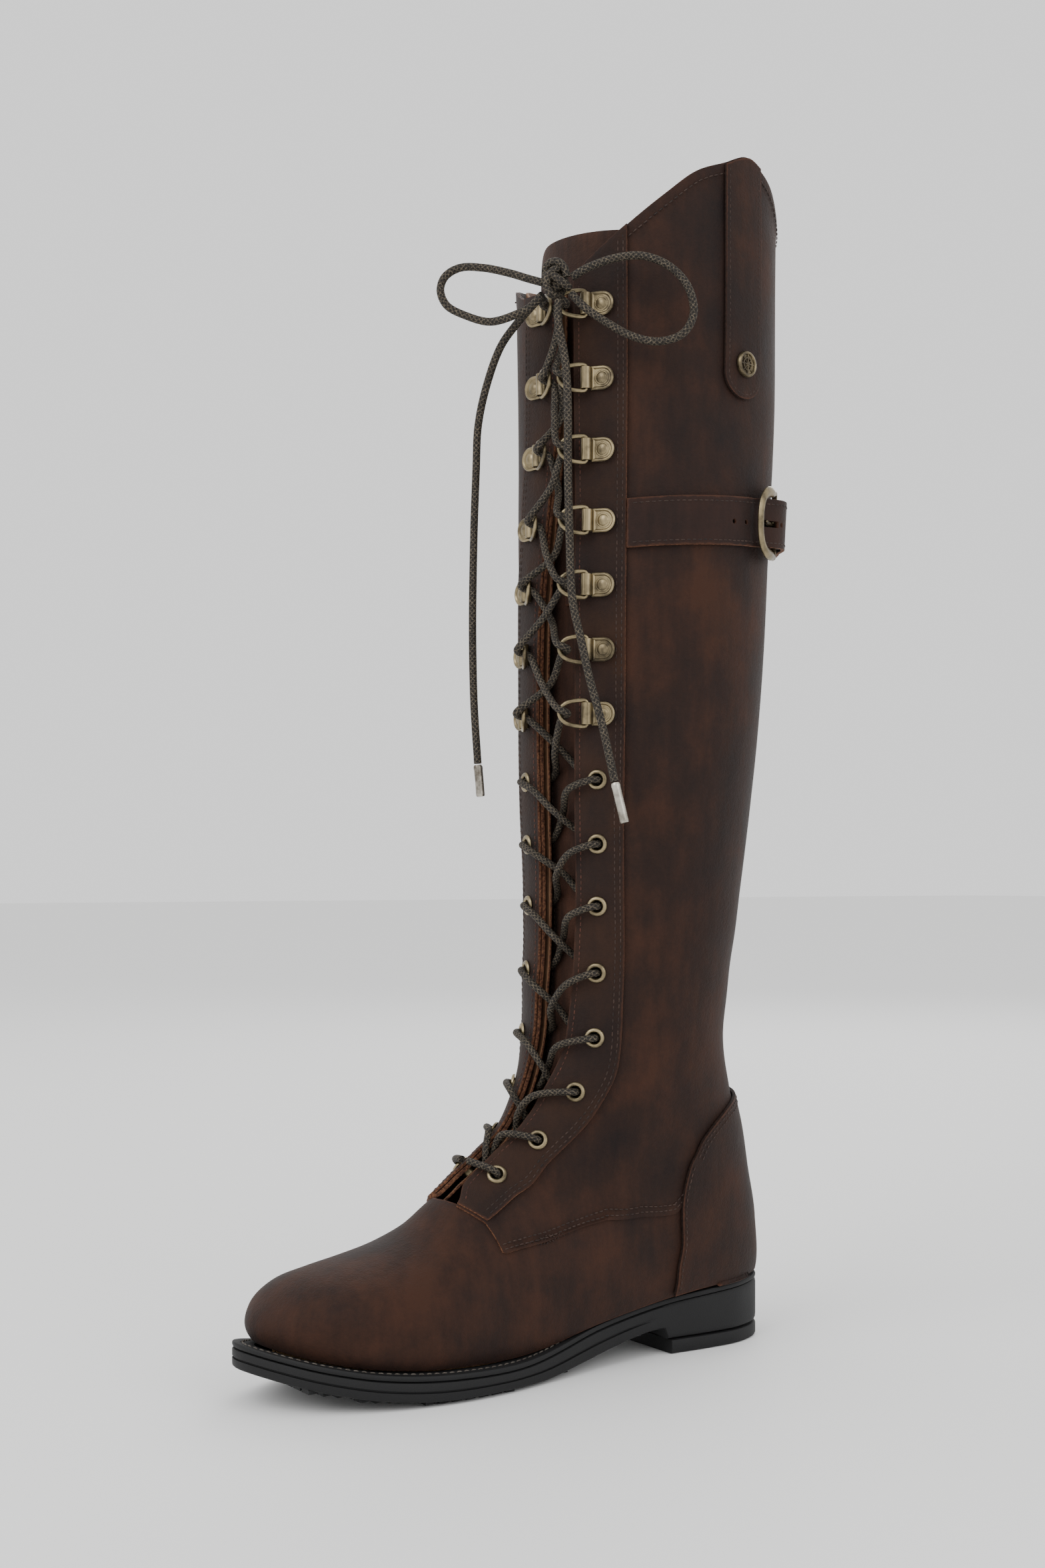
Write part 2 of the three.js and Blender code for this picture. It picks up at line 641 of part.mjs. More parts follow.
function hookPlateShape() {
  const straight = plateLength - plateHalfHeight;
  const outline = new THREE.Shape();
  outline.moveTo(foldBore + 0.2, -plateHalfHeight);
  outline.lineTo(straight, -plateHalfHeight);
  outline.absarc(straight, 0, plateHalfHeight, -Math.PI / 2, Math.PI / 2, false);
  outline.lineTo(foldBore + 0.2, plateHalfHeight);
  outline.closePath();
  const plate = new THREE.ExtrudeGeometry(outline, { depth: plateThickness, bevelEnabled: false, curveSegments: 6 });
  const foldProfile = [
    [foldBore, -foldLength / 2], [foldOuter, -foldLength / 2], [foldOuter, foldLength / 2], [foldBore, foldLength / 2],
    [foldBore, -foldLength / 2],
  ].map(([r, y]) => new THREE.Vector2(r, y));
  const fold = new THREE.LatheGeometry(foldProfile, 8).translate(0, 0, foldOuter);
  const domeProfile = [[0, 0.3], [3.3, 0.3], [2.8, 2.2], [0, 3]].map(([r, z]) => new THREE.Vector2(r, z));
  const dome = upright(new THREE.LatheGeometry(domeProfile, 9)).translate(rivetPlace, 0, 0);
  const shank = peg(rivetShank, innerLayerInner - hardwareSeat - 0.1, 0.8, 5).translate(rivetPlace, 0, 0);
  return joined([plate, fold, dome, shank]);
}

const rivetPlace = 6.9;

function ringShape() {
  const half = ringHeight / 2 - ringWire;
  const arc = [[-0.9, 1], [-0.4 * ringReach, 0.98], [-0.72 * ringReach, 0.8], [-0.93 * ringReach, 0.42]];
  const upper = arc.map(([x, share]) => [x, half * share]);
  const lower = arc.map(([x, share]) => [x, -half * share]).reverse();
  const outline = [[0, 0.6 - half], [0, half - 0.6], ...upper, [-ringReach, 0], ...lower];
  const points = outline.map(([x, y]) => new THREE.Vector3(x, y, 0));
  const loop = new PointByPoint(points, true, 'centripetal');
  const geometry = new THREE.TubeGeometry(loop, points.length, ringWire, 5, true);
  return geometry.rotateY(THREE.MathUtils.degToRad(ringRestTilt)).translate(0, 0, foldOuter);
}

function barrelHoles(side) {
  return eyelets.map((place) => hole(eyeletBarrel, -9, 5, 6).applyMatrix4(eyeletSeat(place, side)));
}

function shankHoles(side) {
  return hooks.map((u) => hole(rivetShank, -9, 5, 4).translate(rivetPlace, 0, 0).applyMatrix4(hookSeat(u, side)));
}

// Eight eyelets, their barrels joined one to the next by a tape stitched inside the leather.
function eyeletRow(side) {
  const rings = eyelets.map((place) => eyeletShape().applyMatrix4(eyeletSeat(place, side)));
  const links = eyelets.slice(1).map((place, k) => {
    const below = eyelets[k];
    const along = (share, aside) => {
      const u = THREE.MathUtils.lerp(below[0], place[0], share);
      const mm = THREE.MathUtils.lerp(below[1], place[1], share);
      return [u, across(u, side * (mm + aside))];
    };
    const middleOf = (share) => skin(along(share, 0), innerLayerOuter - stiffener / 2);
    const inWall = (from) => (share) => middleOf(share).distanceTo(middleOf(from)) < eyeletBarrel - 0.35;
    const [start, end] = [lastTrue(0, 0.5, inWall(0)), lastTrue(1, 0.5, inWall(1))];
    const tape = (s, t) => along(THREE.MathUtils.lerp(start, end, t), 1.6 * (s - 0.5));
    return sheet(tape, 1, 3, innerLayerInner, innerLayerOuter);
  });
  return joined([...rings, ...links]);
}

function hookRow(side) {
  const tape = sheet((s, t) => {
    const u = THREE.MathUtils.lerp(1.35, 5.02, t);
    return [u, across(u, side * (hookFold(u) + rivetPlace + 9 * (s - 0.5)))];
  }, 1, 10, innerLayerInner, innerLayerOuter);
  const plates = hooks.map((u) => hookPlateShape().applyMatrix4(hookSeat(u, side)));
  return joined([tape, ...plates]);
}

// ---------- Lace ----------
const laceOver = hardwareSeat + 0.8 + gap + laceHeld + 0.35;
const crossingGap = 5.2;
const lowerCrossing = laceInside + 3.25;
const levels = [...eyelets.map(([u, mm]) => ({ u, mm })), ...hooks.map((u) => ({ u, mm: hookFold(u) }))];

function lacePoint(u, mm, offset) {
  return skin([u, across(u, mm)], offset);
}

function throughEyelet({ u, mm }, below, side) {
  const edge = halfOpening(u);
  return [
    lacePoint(THREE.MathUtils.lerp(below, u, 0.85), side * (edge - 1), laceOver),
    lacePoint(u, side * (mm - 1.4), laceOver),
    lacePoint(u, side * mm, laceOver - 1.9),
    lacePoint(u, side * mm, liningInner - 0.3),
    lacePoint(u - 0.02, side * (mm - 1.6), laceInside),
  ];
}

function throughRing(u, side) {
  const tilt = THREE.MathUtils.degToRad(ringRestTilt);
  const tip = [-ringReach * Math.cos(tilt), foldOuter + ringReach * Math.sin(tilt)];
  const around = [[0.4, -1.8, -2.8], [2.9, -0.7, -2], [4, 0, 0.1], [2.9, 0.7, 2.2], [0.4, 1.8, 2.9]];
  return around.map(([x, y, z]) => {
    return new THREE.Vector3(tip[0] + x, side * y, tip[1] + z).applyMatrix4(hookSeat(u, side));
  });
}

function laceRun(first, crossing) {
  const points = [lacePoint(levels[0].u, first * 1.8, laceOver)];
  let side = first;
  levels.forEach((level, k) => {
    const atRing = k >= eyelets.length;
    const below = k > 0 ? levels[k - 1].u : level.u;
    points.push(...(atRing ? throughRing(level.u, side) : throughEyelet(level, below, side)));
    if (k === levels.length - 1) return;
    const next = levels[k + 1].u;
    const under = THREE.MathUtils.lerp(level.u, next, 0.15);
    if (!atRing) points.push(lacePoint(under, side * (halfOpening(level.u) - 0.6), laceInside));
    points.push(lacePoint(THREE.MathUtils.lerp(level.u, next, 0.5), 0, crossing + (atRing ? 8.5 : 0)));
    side = -side;
  });
  return points;
}

function heldLace(first, crossing) {
  const points = laceRun(first, crossing);
  return tubeOn(new PointByPoint(points, false, 'centripetal'), laceHeld, points.length - 1, 5);
}

// ---------- Buckle and strap ----------
const strapMiddle = (angle) => ringAtHeight(upwards(strapHeight + strapRise * THREE.MathUtils.clamp((angle - 50) / 58, 0, 1.4)));
const buckleFront = 108.5;
const degreesPerMm = 180 / (Math.PI * 60);
const buckleBack = buckleFront + buckleWidth * degreesPerMm;

function strapPlace(from, to, width) {
  return (s, t) => {
    const angle = THREE.MathUtils.lerp(from, to, t);
    const tip = typeof width === 'function' ? width(t) : width;
    const u = strapMiddle(angle);
    const perMm = 1 / (ringAt(u)[3] - ringAt(u + 1)[3]);
    return [u + perMm * tip * (0.5 - s), angle];
  };
}

const strapLift = through([
  [50, 0], [108, 0], [111, 0], [buckleBack - 6, 6], [buckleBack + 3, 6.1], [buckleBack + 14, 2.8], [180, 2.8],
]);

function calfStrap() {
  const [from, to] = [50.5, 161];
  const angleAt = (t) => THREE.MathUtils.lerp(from, to, t);
  const width = (t) => strapWidth * Math.min(1, 0.45 + 9 * (1 - t));
  const strap = sheet(
    strapPlace(from, to, width), 1, 28,
    (s, t) => gap + strapLift(angleAt(t)), (s, t) => gap + strapThickness + strapLift(angleAt(t)),
  );
  const slotAngle = buckleBack - 12;
  const slot = new THREE.BoxGeometry(11, 3.4, 16);
  slot.applyMatrix4(seat([strapMiddle(slotAngle), slotAngle], 2, strapTurn));
  return cutBy(strap, [slot]);
}

const strapTurn = Math.atan(strapRise * degreesPerMm / 58);

function buckleSeat() {
  return seat([strapMiddle(buckleBack), buckleBack], buckleBarOffset, strapTurn);
}

// In the buckle's own axes +X runs back round the calf and the hinge bar lies on the origin along Y.
function buckleFrame() {
  const half = buckleHeight / 2;
  const arc = [
    [-0.3, 1, 0.8], [-0.55, 1.02, 1.1], [-0.8, 0.93, 0.4], [-0.95, 0.7, -0.4], [-1.01, 0.38, -0.9],
  ].map(([x, y, z]) => [x * buckleWidth, y * half, z]);
  const mirrored = arc.map(([x, y, z]) => [x, -y, z]).reverse();
  const path = [
    [0, 1.6 - half, 0], [0, half - 1.6, 0], [-1.8, half, 0.4], ...arc, [-1.03 * buckleWidth, 0, -1], ...mirrored,
    [-1.8, -half, 0.4],
  ];
  const loop = new PointByPoint(path.map((point) => new THREE.Vector3(...point)), true, 'centripetal');
  return new THREE.TubeGeometry(loop, path.length, buckleWire, 6, true);
}

function barSleeve(length, outer, middle) {
  const inner = buckleWire + buckleClearance;
  const profile = [
    [inner, -length / 2], [outer, -length / 2], [outer, length / 2], [inner, length / 2], [inner, -length / 2],
  ].map(([r, y]) => new THREE.Vector2(r, y));
  return new THREE.LatheGeometry(profile, 9).translate(0, middle, 0);
}

function buckleProng() {
  const sleeve = barSleeve(3, buckleWire + buckleClearance + 1, 0);
  const reach = buckleWidth - 3.2;
  const points = [[-2.3, 0, 0.2], [-0.5 * reach, 0, 0], [-0.85 * reach, 0, 0], [-reach, 0, 0.9]];
  const pin = tubeAlong(points.map((p) => new THREE.Vector3(...p)), 0.95, 6, 6);
  return joined([sleeve, pin]);
}

function strapChape() {
  const outer = buckleWire + buckleClearance + 1.1;
  const band = sheet(
    strapPlace(buckleBack + 1.2, 174.6, strapWidth), 1, 9, gap, gap + strapThickness,
  );
  const sleeves = [-6.2, 6.2].map((middle) => barSleeve(8, outer, middle).applyMatrix4(buckleSeat()));
  const bar = peg(buckleWire + buckleClearance, -14, 14, 9).rotateX(Math.PI / 2).applyMatrix4(buckleSeat());
  const notch = new THREE.BoxGeometry(8.4, 4, 12).applyMatrix4(buckleSeat());
  return cutBy(joined([band, ...sleeves]), [bar, notch]);
}

// ---------- Top tab ----------
const tabCentre = 101.5;

function tabPlace(s, t) {
  const top = topRing(tabCentre) + 0.02;
  const bottom = ringAtHeight(ringAt(top)[3] - tabLength);
  const fromEnd = tabLength * (1 - t);
  const round = Math.sqrt(Math.max(0.06, 1 - (1 - Math.min(1, fromEnd / tabHalfWidth)) ** 2));
  const u = THREE.MathUtils.lerp(top, bottom, t);
  const width = tabHalfWidth * round;
  const angle = tabCentre + THREE.MathUtils.radToDeg(width / ringAt(u)[4]) * (2 * s - 1);
  return [Math.max(u, topRing(angle) + 0.01), angle];
}

function tabStud() {
  const profile = [[0, 0], [studRadius, 0], [studRadius, 1.2], [studRadius - 1.1, 2.2], [0, 2.9]]
    .map(([r, z]) => new THREE.Vector2(r, z));
  const u = ringAtHeight(ringAt(topRing(tabCentre))[3] - tabLength + 14);
  return upright(new THREE.LatheGeometry(profile, 16)).applyMatrix4(seat([u, tabCentre], hardwareSeat, 0));
}

// ---------- Free lace: knot, two loops and two hanging ends ----------
const knotCentre = [39.4, -96.8, 474.6];
const freeLace = {
  lace_loop_medial: [
    [33.4, -99.8, 475.6], [27.2, -104, 478.2], [20.4, -109.2, 481.3], [10.8, -116.9, 484.6], [3, -124.1, 485.2],
    [-1.7, -128.8, 481.7], [-3, -130.5, 475.8], [-0.5, -128.8, 468.8], [5.6, -122.3, 463.8], [13.4, -115.1, 460.7],
    [25.1, -109.2, 462.1], [30.2, -105, 464.9], [34.8, -102, 469.4],
  ],
  lace_loop_lateral: [
    [44, -92.4, 476.8], [48.5, -88, 480.2], [55.3, -78.4, 484.6], [65.4, -69.7, 484.9], [73.8, -61.6, 479.7],
    [79.2, -56, 470.8], [80.7, -54, 459.4], [78, -57.6, 450.8], [71.3, -65.1, 447.6], [62.9, -73.2, 450.2],
    [54.4, -81.3, 456.9], [48.4, -88.7, 463.6], [44, -92.6, 469.8],
  ],
  lace_end_medial: [
    [32.2, -99.8, 470.8], [26, -101.5, 466.8], [17, -103.5, 461], [9.2, -107, 452], [2, -110, 435.6], [-3.6, -111, 418.7],
    [-6.2, -110.5, 399.5], [-9, -110, 371.8], [-10.2, -110, 329.8], [-9.9, -109.5, 297.2], [-8, -108.6, 268.6],
  ],
  lace_end_lateral: [
    [41.2, -97.4, 466.8], [42.2, -98, 456.4], [42.4, -95, 442.9], [44, -94.5, 427.4], [44.4, -94.5, 393.4],
    [44.8, -94, 366.3], [45.6, -93, 337.5], [48.5, -90.5, 320], [51.5, -88, 303], [55.5, -84.5, 284],
    [60.3, -81, 258.8],
  ],
};
const aglets = {
  aglet_medial: [[-7.9, -108.6, 267.9], [-6.4, -108.1, 253.8]],
  aglet_lateral: [[60.5, -80.9, 258.1], [64.1, -78.4, 241]],
};

function knot() {
  return new THREE.SphereGeometry(1, 12, 8).scale(5.4, 4, 5.8).rotateZ(0.6).translate(...knotCentre);
}

function vectors(list) {
  return list.map((point) => new THREE.Vector3(...point));
}

// ---------- Assembly ----------
const colours = {
  nubuck: [0x4a3027, 0.85, 0], facing: [0x3d2a25, 0.85, 0], tongue: [0x55352a, 0.85, 0], lining: [0x6b4a35, 0.7, 0],
  rubber: [0x17181a, 0.75, 0], board: [0x9a7a55, 0.8, 0], steel: [0x8a8c90, 0.35, 1], brass: [0x8c7a55, 0.4, 1],
  lace: [0x2c2620, 0.8, 0], insole: [0x35302c, 0.9, 0],
};

const boot = new THREE.Group();

function addPiece(name, colour, geometry) {
  const [color, roughness, metalness] = colours[colour];
  const mesh = new THREE.Mesh(geometry, new THREE.MeshStandardMaterial({ color, roughness, metalness }));
  mesh.name = name;
  boot.add(mesh);
}

// Where the lining's lower edge runs, as [y, x] from toe to heel on one side.
function innerRim(side) {
  const knots = [];
  for (let i = 0; i <= 12; i += 1) {
    const point = skin(vampPlace()(0.5 + side * i / 24, 1), liningInner - 2 * gap);
    knots.push([point.y, point.x]);
  }
  for (let i = 0; i <= 7; i += 1) {
    const point = skin(heelInside(0.5 + side * (7 - i) / 14, 1), liningInner - 2 * gap);
    knots.push([point.y, point.x]);
  }
  return knots.filter((knot, i) => i === 0 || knot[0] > knots[i - 1][0] + 0.5);
}

function addSole() {
  addPiece('outsole_unit', 'rubber', outsoleUnit());
  addPiece('heel_top_piece', 'rubber', soleLayer(heelBack, breast, 10, outline(0), () => 0, () => topPieceHeight));
  addPiece('welt', 'rubber', welt());
  const fillerTop = (y) => soleTop(y) - gap;
  const layerBottom = (y) => soleTop(y) - weltThickness;
  const within = outline(weltWidth + 4);
  addPiece('cork_filler', 'board', soleLayer(lengthwise(-96), toeFront + 16, 10, within, layerBottom, fillerTop));
  const shankSides = outline(weltWidth + 1, 8);
  addPiece('shank', 'steel', soleLayer(lengthwise(12), lengthwise(-92), 8, shankSides, layerBottom, fillerTop));
  const rims = [straightThrough(innerRim(1)), straightThrough(innerRim(-1))];
  const boardSides = [(y) => rims[0](y) - 1.2, (y) => rims[1](y) + 1.2];
  const [boardFrom, boardTo] = [heelBack - boardInset, toeFront + boardInset + 6];
  const boardTop = (y) => soleTop(y) + 2;
  addPiece('insole_board', 'board', soleLayer(boardFrom, boardTo, 18, boardSides, (y) => soleTop(y) + gap, boardTop));
  const footbedBottom = (y) => boardTop(y) + gap;
  const footbedTop = (y) => soleTop(y) + 5;
  addPiece('footbed', 'insole', soleLayer(boardFrom - 1, boardTo + 1, 18, boardSides, footbedBottom, footbedTop));
}

function addUpper() {
  addPiece('vamp', 'nubuck', sheet(vampPlace(), vampColumns, vampRows, -leather, 0));
  addPiece('vamp_lining', 'lining', sheet(vampPlace(), vampColumns, vampRows, liningInner, liningOuter));
  const puff = vampPlace(-0.5, 0.5, 3 / vampRows);
  addPiece('toe_puff', 'board', sheet(puff, vampColumns / 2, vampRows - 3, innerLayerInner, innerLayerOuter));
  const facingColumns = facingShares.map((share, k) => k);
  const last = facingShares.length - 1 + betweenColumns + quarterAngles.length;
  const columns = Array.from({ length: last + 1 }, (none, k) => k);
  const rows = quarterRows.map((row, k) => k);
  const liningColumns = columns.filter((k) => k !== 4 && k !== last - 1);
  const liningRows = rows.filter((k) => k !== 1 && k !== rows.length - 2);
  for (const [name, side] of [['lateral', 1], ['medial', -1]]) {
    const panel = (columnList, rowList, inner, outer) => {
      const place = quarterGrid(side, columnList, rowList);
      return sheet(place, columnList.length - 1, rowList.length - 1, inner, outer);
    };
    const pins = [...barrelHoles(side), ...shankHoles(side)];
    addPiece(`quarter_${name}`, 'nubuck', cutBy(panel(columns, rows, -leather, 0), pins));
    addPiece(`facing_${name}`, 'facing', cutBy(panel(facingColumns, rows, overlayInner, overlayOuter), pins));
    const lining = panel(liningColumns, liningRows, liningInner, liningOuter);
    addPiece(`lining_${name}`, 'lining', cutBy(lining, barrelHoles(side)));
    addPiece(`eyelet_row_${name}`, 'brass', eyeletRow(side));
    addPiece(`hook_plates_${name}`, 'brass', hookRow(side));
    hooks.forEach((u, k) => {
      addPiece(`lace_ring_${name}_${k + 1}`, 'brass', ringShape().applyMatrix4(hookSeat(u, side)));
    });
  }
  addPiece('heel_counter', 'nubuck', sheet(counterPlace, 18, 6, 2.4 * gap, 2.4 * gap + overlay));
  addPiece('heel_stiffener', 'board', sheet(heelInside, 14, 6, innerLayerOuter, innerLayerOuter + heelStiffener));
  addPiece('heel_lining', 'lining', sheet(heelInside, 14, 6, liningInner, liningOuter));
  const stay = strip(180, 5, topRing(180) + 0.01, 10.93);
  addPiece('back_stay', 'nubuck', sheet(stay, 2, 14, 3 * gap, 3 * gap + overlay));
  addPiece('tongue', 'tongue', sheet(tonguePlace, 8, 17, tongueInner, tongueOuter));
  const loopTop = ringAtHeight(upwards(356));
  const loopBottom = ringAtHeight(upwards(339));
  const loop = strip(across(loopTop, -1), 3.6, loopTop, loopBottom);
  addPiece('tongue_loop', 'tongue', sheet(loop, 2, 2, tongueOuter + gap, tongueOuter + gap + 0.9));
}

function addFittings() {
  addPiece('top_tab', 'nubuck', sheet(tabPlace, 4, 14, overlayInner, overlayOuter));
  addPiece('tab_stud', 'brass', tabStud());
  addPiece('calf_strap', 'nubuck', calfStrap());
  addPiece('strap_chape', 'nubuck', strapChape());
  addPiece('buckle_frame', 'brass', buckleFrame().applyMatrix4(buckleSeat()));
  addPiece('buckle_prong', 'brass', buckleProng().applyMatrix4(buckleSeat()));
}

function addLace() {
  addPiece('lace_run_first', 'lace', heldLace(1, lowerCrossing + crossingGap));
  addPiece('lace_run_second', 'lace', heldLace(-1, lowerCrossing));
  addPiece('lace_knot', 'lace', knot());
  const steps = { lace_loop_medial: 18, lace_loop_lateral: 18, lace_end_medial: 16, lace_end_lateral: 16 };
  for (const [name, points] of Object.entries(freeLace)) {
    addPiece(name, 'lace', tubeAlong(vectors(points), laceRadius, steps[name], 8));
  }
  for (const [name, points] of Object.entries(aglets)) {
    addPiece(name, 'steel', tubeAlong(vectors(points), laceRadius + 0.15, 2, 8));
  }
}

addSole();
addUpper();
addFittings();
addLace();

export default boot;
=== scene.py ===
import math

import bmesh
import bpy
import numpy as np
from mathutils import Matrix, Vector


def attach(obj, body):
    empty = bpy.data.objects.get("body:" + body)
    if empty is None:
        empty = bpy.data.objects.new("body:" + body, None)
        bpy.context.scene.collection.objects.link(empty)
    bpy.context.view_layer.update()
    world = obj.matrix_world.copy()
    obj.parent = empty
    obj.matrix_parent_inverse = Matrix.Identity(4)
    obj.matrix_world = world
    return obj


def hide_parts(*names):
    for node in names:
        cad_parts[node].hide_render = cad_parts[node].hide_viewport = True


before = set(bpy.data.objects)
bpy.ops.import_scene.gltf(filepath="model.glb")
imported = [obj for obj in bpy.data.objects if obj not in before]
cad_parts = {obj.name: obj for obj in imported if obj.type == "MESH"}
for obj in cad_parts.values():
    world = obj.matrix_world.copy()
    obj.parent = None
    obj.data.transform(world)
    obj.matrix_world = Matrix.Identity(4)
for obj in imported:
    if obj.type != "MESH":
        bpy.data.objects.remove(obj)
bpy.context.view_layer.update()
scene = bpy.context.scene
chance = np.random.default_rng(41)
mm = 0.001


def deselectAll():
    bpy.ops.object.select_all(action="DESELECT")


view = dict(azimuth=53.62, distance=0.9483, height=0.21843, lens=45.62, shiftX=-0.10265, shiftY=0.0584)
turn = math.radians(view["azimuth"])
cameraData = bpy.data.cameras.new("camera")
cameraData.sensor_fit = "VERTICAL"
cameraData.sensor_height = 36
cameraData.lens = view["lens"]
cameraData.shift_x = view["shiftX"]
cameraData.shift_y = view["shiftY"]
cameraData.clip_start = 0.02
cameraData.clip_end = 60
camera = bpy.data.objects.new("camera", cameraData)
scene.collection.objects.link(camera)
camera.location = (math.sin(turn) * view["distance"], -math.cos(turn) * view["distance"], view["height"])
camera.rotation_euler = Vector((-math.sin(turn), math.cos(turn), 0)).to_track_quat("-Z", "Y").to_euler()
scene.camera = camera

deselectAll()
bpy.ops.mesh.primitive_plane_add(size=30, location=(0, 0, -0.0002))
floor = bpy.context.active_object
floor.name = "floor"
floorPaint = bpy.data.materials.new("floor_paint")
floorPaint.use_nodes = True
floorPaint.node_tree.nodes["Principled BSDF"].inputs["Base Color"].default_value = (0.86, 0.86, 0.855, 1)
floorPaint.node_tree.nodes["Principled BSDF"].inputs["Roughness"].default_value = 0.75
floor.data.materials.append(floorPaint)

world = bpy.data.worlds.new("studio")
scene.world = world
world.use_nodes = True
world.node_tree.nodes["Background"].inputs["Color"].default_value = (1, 1, 1, 1)
world.node_tree.nodes["Background"].inputs["Strength"].default_value = 1.2

lamps = [
    dict(name="key", spot=(0.35, -1.9, 1.7), size=1.6, watts=26),
    dict(name="side", spot=(2.1, 0.3, 1.1), size=1.4, watts=11),
    dict(name="rim", spot=(-1.3, 1.4, 1.5), size=1.2, watts=12),
]
for lamp in lamps:
    data = bpy.data.lights.new(lamp["name"], "AREA")
    data.size = lamp["size"]
    data.energy = lamp["watts"]
    light = bpy.data.objects.new(lamp["name"], data)
    light.location = lamp["spot"]
    light.rotation_euler = (Vector((0, -0.06, 0.25)) - Vector(lamp["spot"])).to_track_quat("-Z", "Y").to_euler()
    scene.collection.objects.link(light)
print("camera and light ready")


class Wire:

    def __init__(self, graph, socket):
        self.graph = graph
        self.socket = socket

    def math(self, operation, *others):
        made = self.graph.node("Math", operation=operation)
        for entry, value in zip(made.inputs, (self, *others)):
            self.graph.feed(entry, value)
        return Wire(self.graph, made.outputs[0])

    def __add__(self, other):
        return self.math("ADD", other)

    def __sub__(self, other):
        return self.math("SUBTRACT", other)

    def __mul__(self, other):
        return self.math("MULTIPLY", other)

    def larger(self, other):
        return self.math("MAXIMUM", other)

    def sine(self):
        return self.math("SINE")

    def absolute(self):
        return self.math("ABSOLUTE")

    def ramp(self, low, high):
        made = self.graph.node("MapRange", {"From Min": low, "From Max": high}, interpolation_type="SMOOTHSTEP")
        self.graph.feed(made.inputs["Value"], self)
        return Wire(self.graph, made.outputs[0])


class Graph:
    def __init__(self, name, **settings):
        self.material = bpy.data.materials.new(name)
        self.material.use_nodes = True
        self.tree = self.material.node_tree
        self.shader = self.tree.nodes["Principled BSDF"]
        self.set(**settings)

    def feed(self, entry, value):
        if isinstance(value, Wire):
            self.tree.links.new(value.socket, entry)
        else:
            entry.default_value = value

    def node(self, kind, inputs=None, **settings):
        made = self.tree.nodes.new("ShaderNode" + kind)
        for key, value in settings.items():
            setattr(made, key, value)
        for key, value in (inputs or {}).items():
            self.feed(made.inputs[key], value)
        return made

    def set(self, **values):
        for key, value in values.items():
            label = "".join(" " + c if c.isupper() else c for c in key).strip().title()
            label = label.replace("Ior", "IOR")
            self.feed(self.shader.inputs[label], value)

    def coordinates(self):
        return Wire(self, self.node("TexCoord").outputs["Object"])

    def uv(self):
        made = self.node("SeparateXYZ", {"Vector": Wire(self, self.node("TexCoord").outputs["UV"])})
        return Wire(self, made.outputs[0]), Wire(self, made.outputs[1])

    def stretched(self, place, scale):
        return Wire(self, self.node("Mapping", {"Vector": place, "Scale": scale}).outputs[0])

    def noise(self, place, scale, detail=2.0, rough=0.5):
        made = self.node("TexNoise", {"Vector": place, "Scale": scale, "Detail": detail, "Roughness": rough})
        return Wire(self, made.outputs[0])

    def cells(self, place, scale):
        return Wire(self, self.node("TexVoronoi", {"Vector": place, "Scale": scale}).outputs[0])

    def attribute(self, name):
        return Wire(self, self.node("Attribute", attribute_name=name).outputs["Fac"])

    def mix(self, factor, first, second):
        made = self.node("Mix", data_type="RGBA")
        for entry, value in ((0, factor), (6, first), (7, second)):
            self.feed(made.inputs[entry], value)
        return Wire(self, made.outputs[2])

    def tones(self, value, stops):
        made = self.node("ValToRGB")
        self.feed(made.inputs[0], value)
        bar = made.color_ramp.elements
        while len(bar) < len(stops):
            bar.new(0.5)
        for element, (place, colour) in zip(bar, stops):
            element.position = place
            element.color = colour
        return Wire(self, made.outputs[0])

    def bump(self, height, distance, strength=1.0, under=None):
        made = self.node("Bump", {"Height": height, "Distance": distance, "Strength": strength})
        if under is not None:
            self.feed(made.inputs["Normal"], under)
        return Wire(self, made.outputs[0])


def paint(red, green, blue):
    linear = [(c / 255 / 12.92) if c < 10.3 else ((c / 255 + 0.055) / 1.055) ** 2.4 for c in (red, green, blue)]
    return (*linear, 1)


def leather(name, dark, middle, light, worn, grain=1.0, streaks=0.3, dusty=0.52):
    graph = Graph(name, specularIorLevel=0.16, sheenWeight=0.03, sheenRoughness=0.5)
    place = graph.coordinates()
    cloud = graph.noise(place, 17, 5, 0.62)
    patch = graph.noise(graph.stretched(place, (1, 1, 0.6)), 52, 4, 0.6)
    streak = graph.noise(graph.stretched(place, (1, 1, 0.13)), 210, 3, 0.6)
    fine = graph.noise(place, 620, 3, 0.65)
    tone = cloud * (0.62 - streaks * 0.4) + patch * 0.3 + streak * streaks * 0.4 + fine * 0.08
    colour = graph.tones(tone, [(0.38, dark), (0.49, middle), (0.61, light)])
    speck = graph.noise(place, 1900, 2, 0.7).ramp(0.55, 0.85) * 0.3
    colour = graph.mix(speck, colour, light)
    rub = graph.noise(place, 330, 3, 0.6)
    rim = graph.attribute("edgeMm")
    edge = (rub * 1.3 - rim * 0.62).ramp(0.05, 0.6) * 0.6
    colour = graph.mix(edge, colour, worn)
    graph.set(baseColor=colour, roughness=cloud.ramp(0.2, 0.85) * 0.2 + dusty + patch * 0.15)
    nap = graph.noise(place, 2600, 2, 0.6)
    pores = graph.cells(place, 1300)
    soft = graph.noise(place, 95, 4, 0.6)
    height = nap * 0.35 + pores * 0.25 + fine * 0.7 + soft * 1.3
    graph.set(normal=graph.bump(height, 0.00042 * grain, 0.85))
    return graph.material


def rawEdge(name, colour, bright):
    graph = Graph(name, specularIorLevel=0.2)
    place = graph.coordinates()
    fibre = graph.noise(graph.stretched(place, (1, 1, 1)), 900, 3, 0.7)
    graph.set(baseColor=graph.mix(fibre.ramp(0.35, 0.7), colour, bright), roughness=fibre * 0.2 + 0.7)
    graph.set(normal=graph.bump(fibre, 0.0002))
    return graph.material


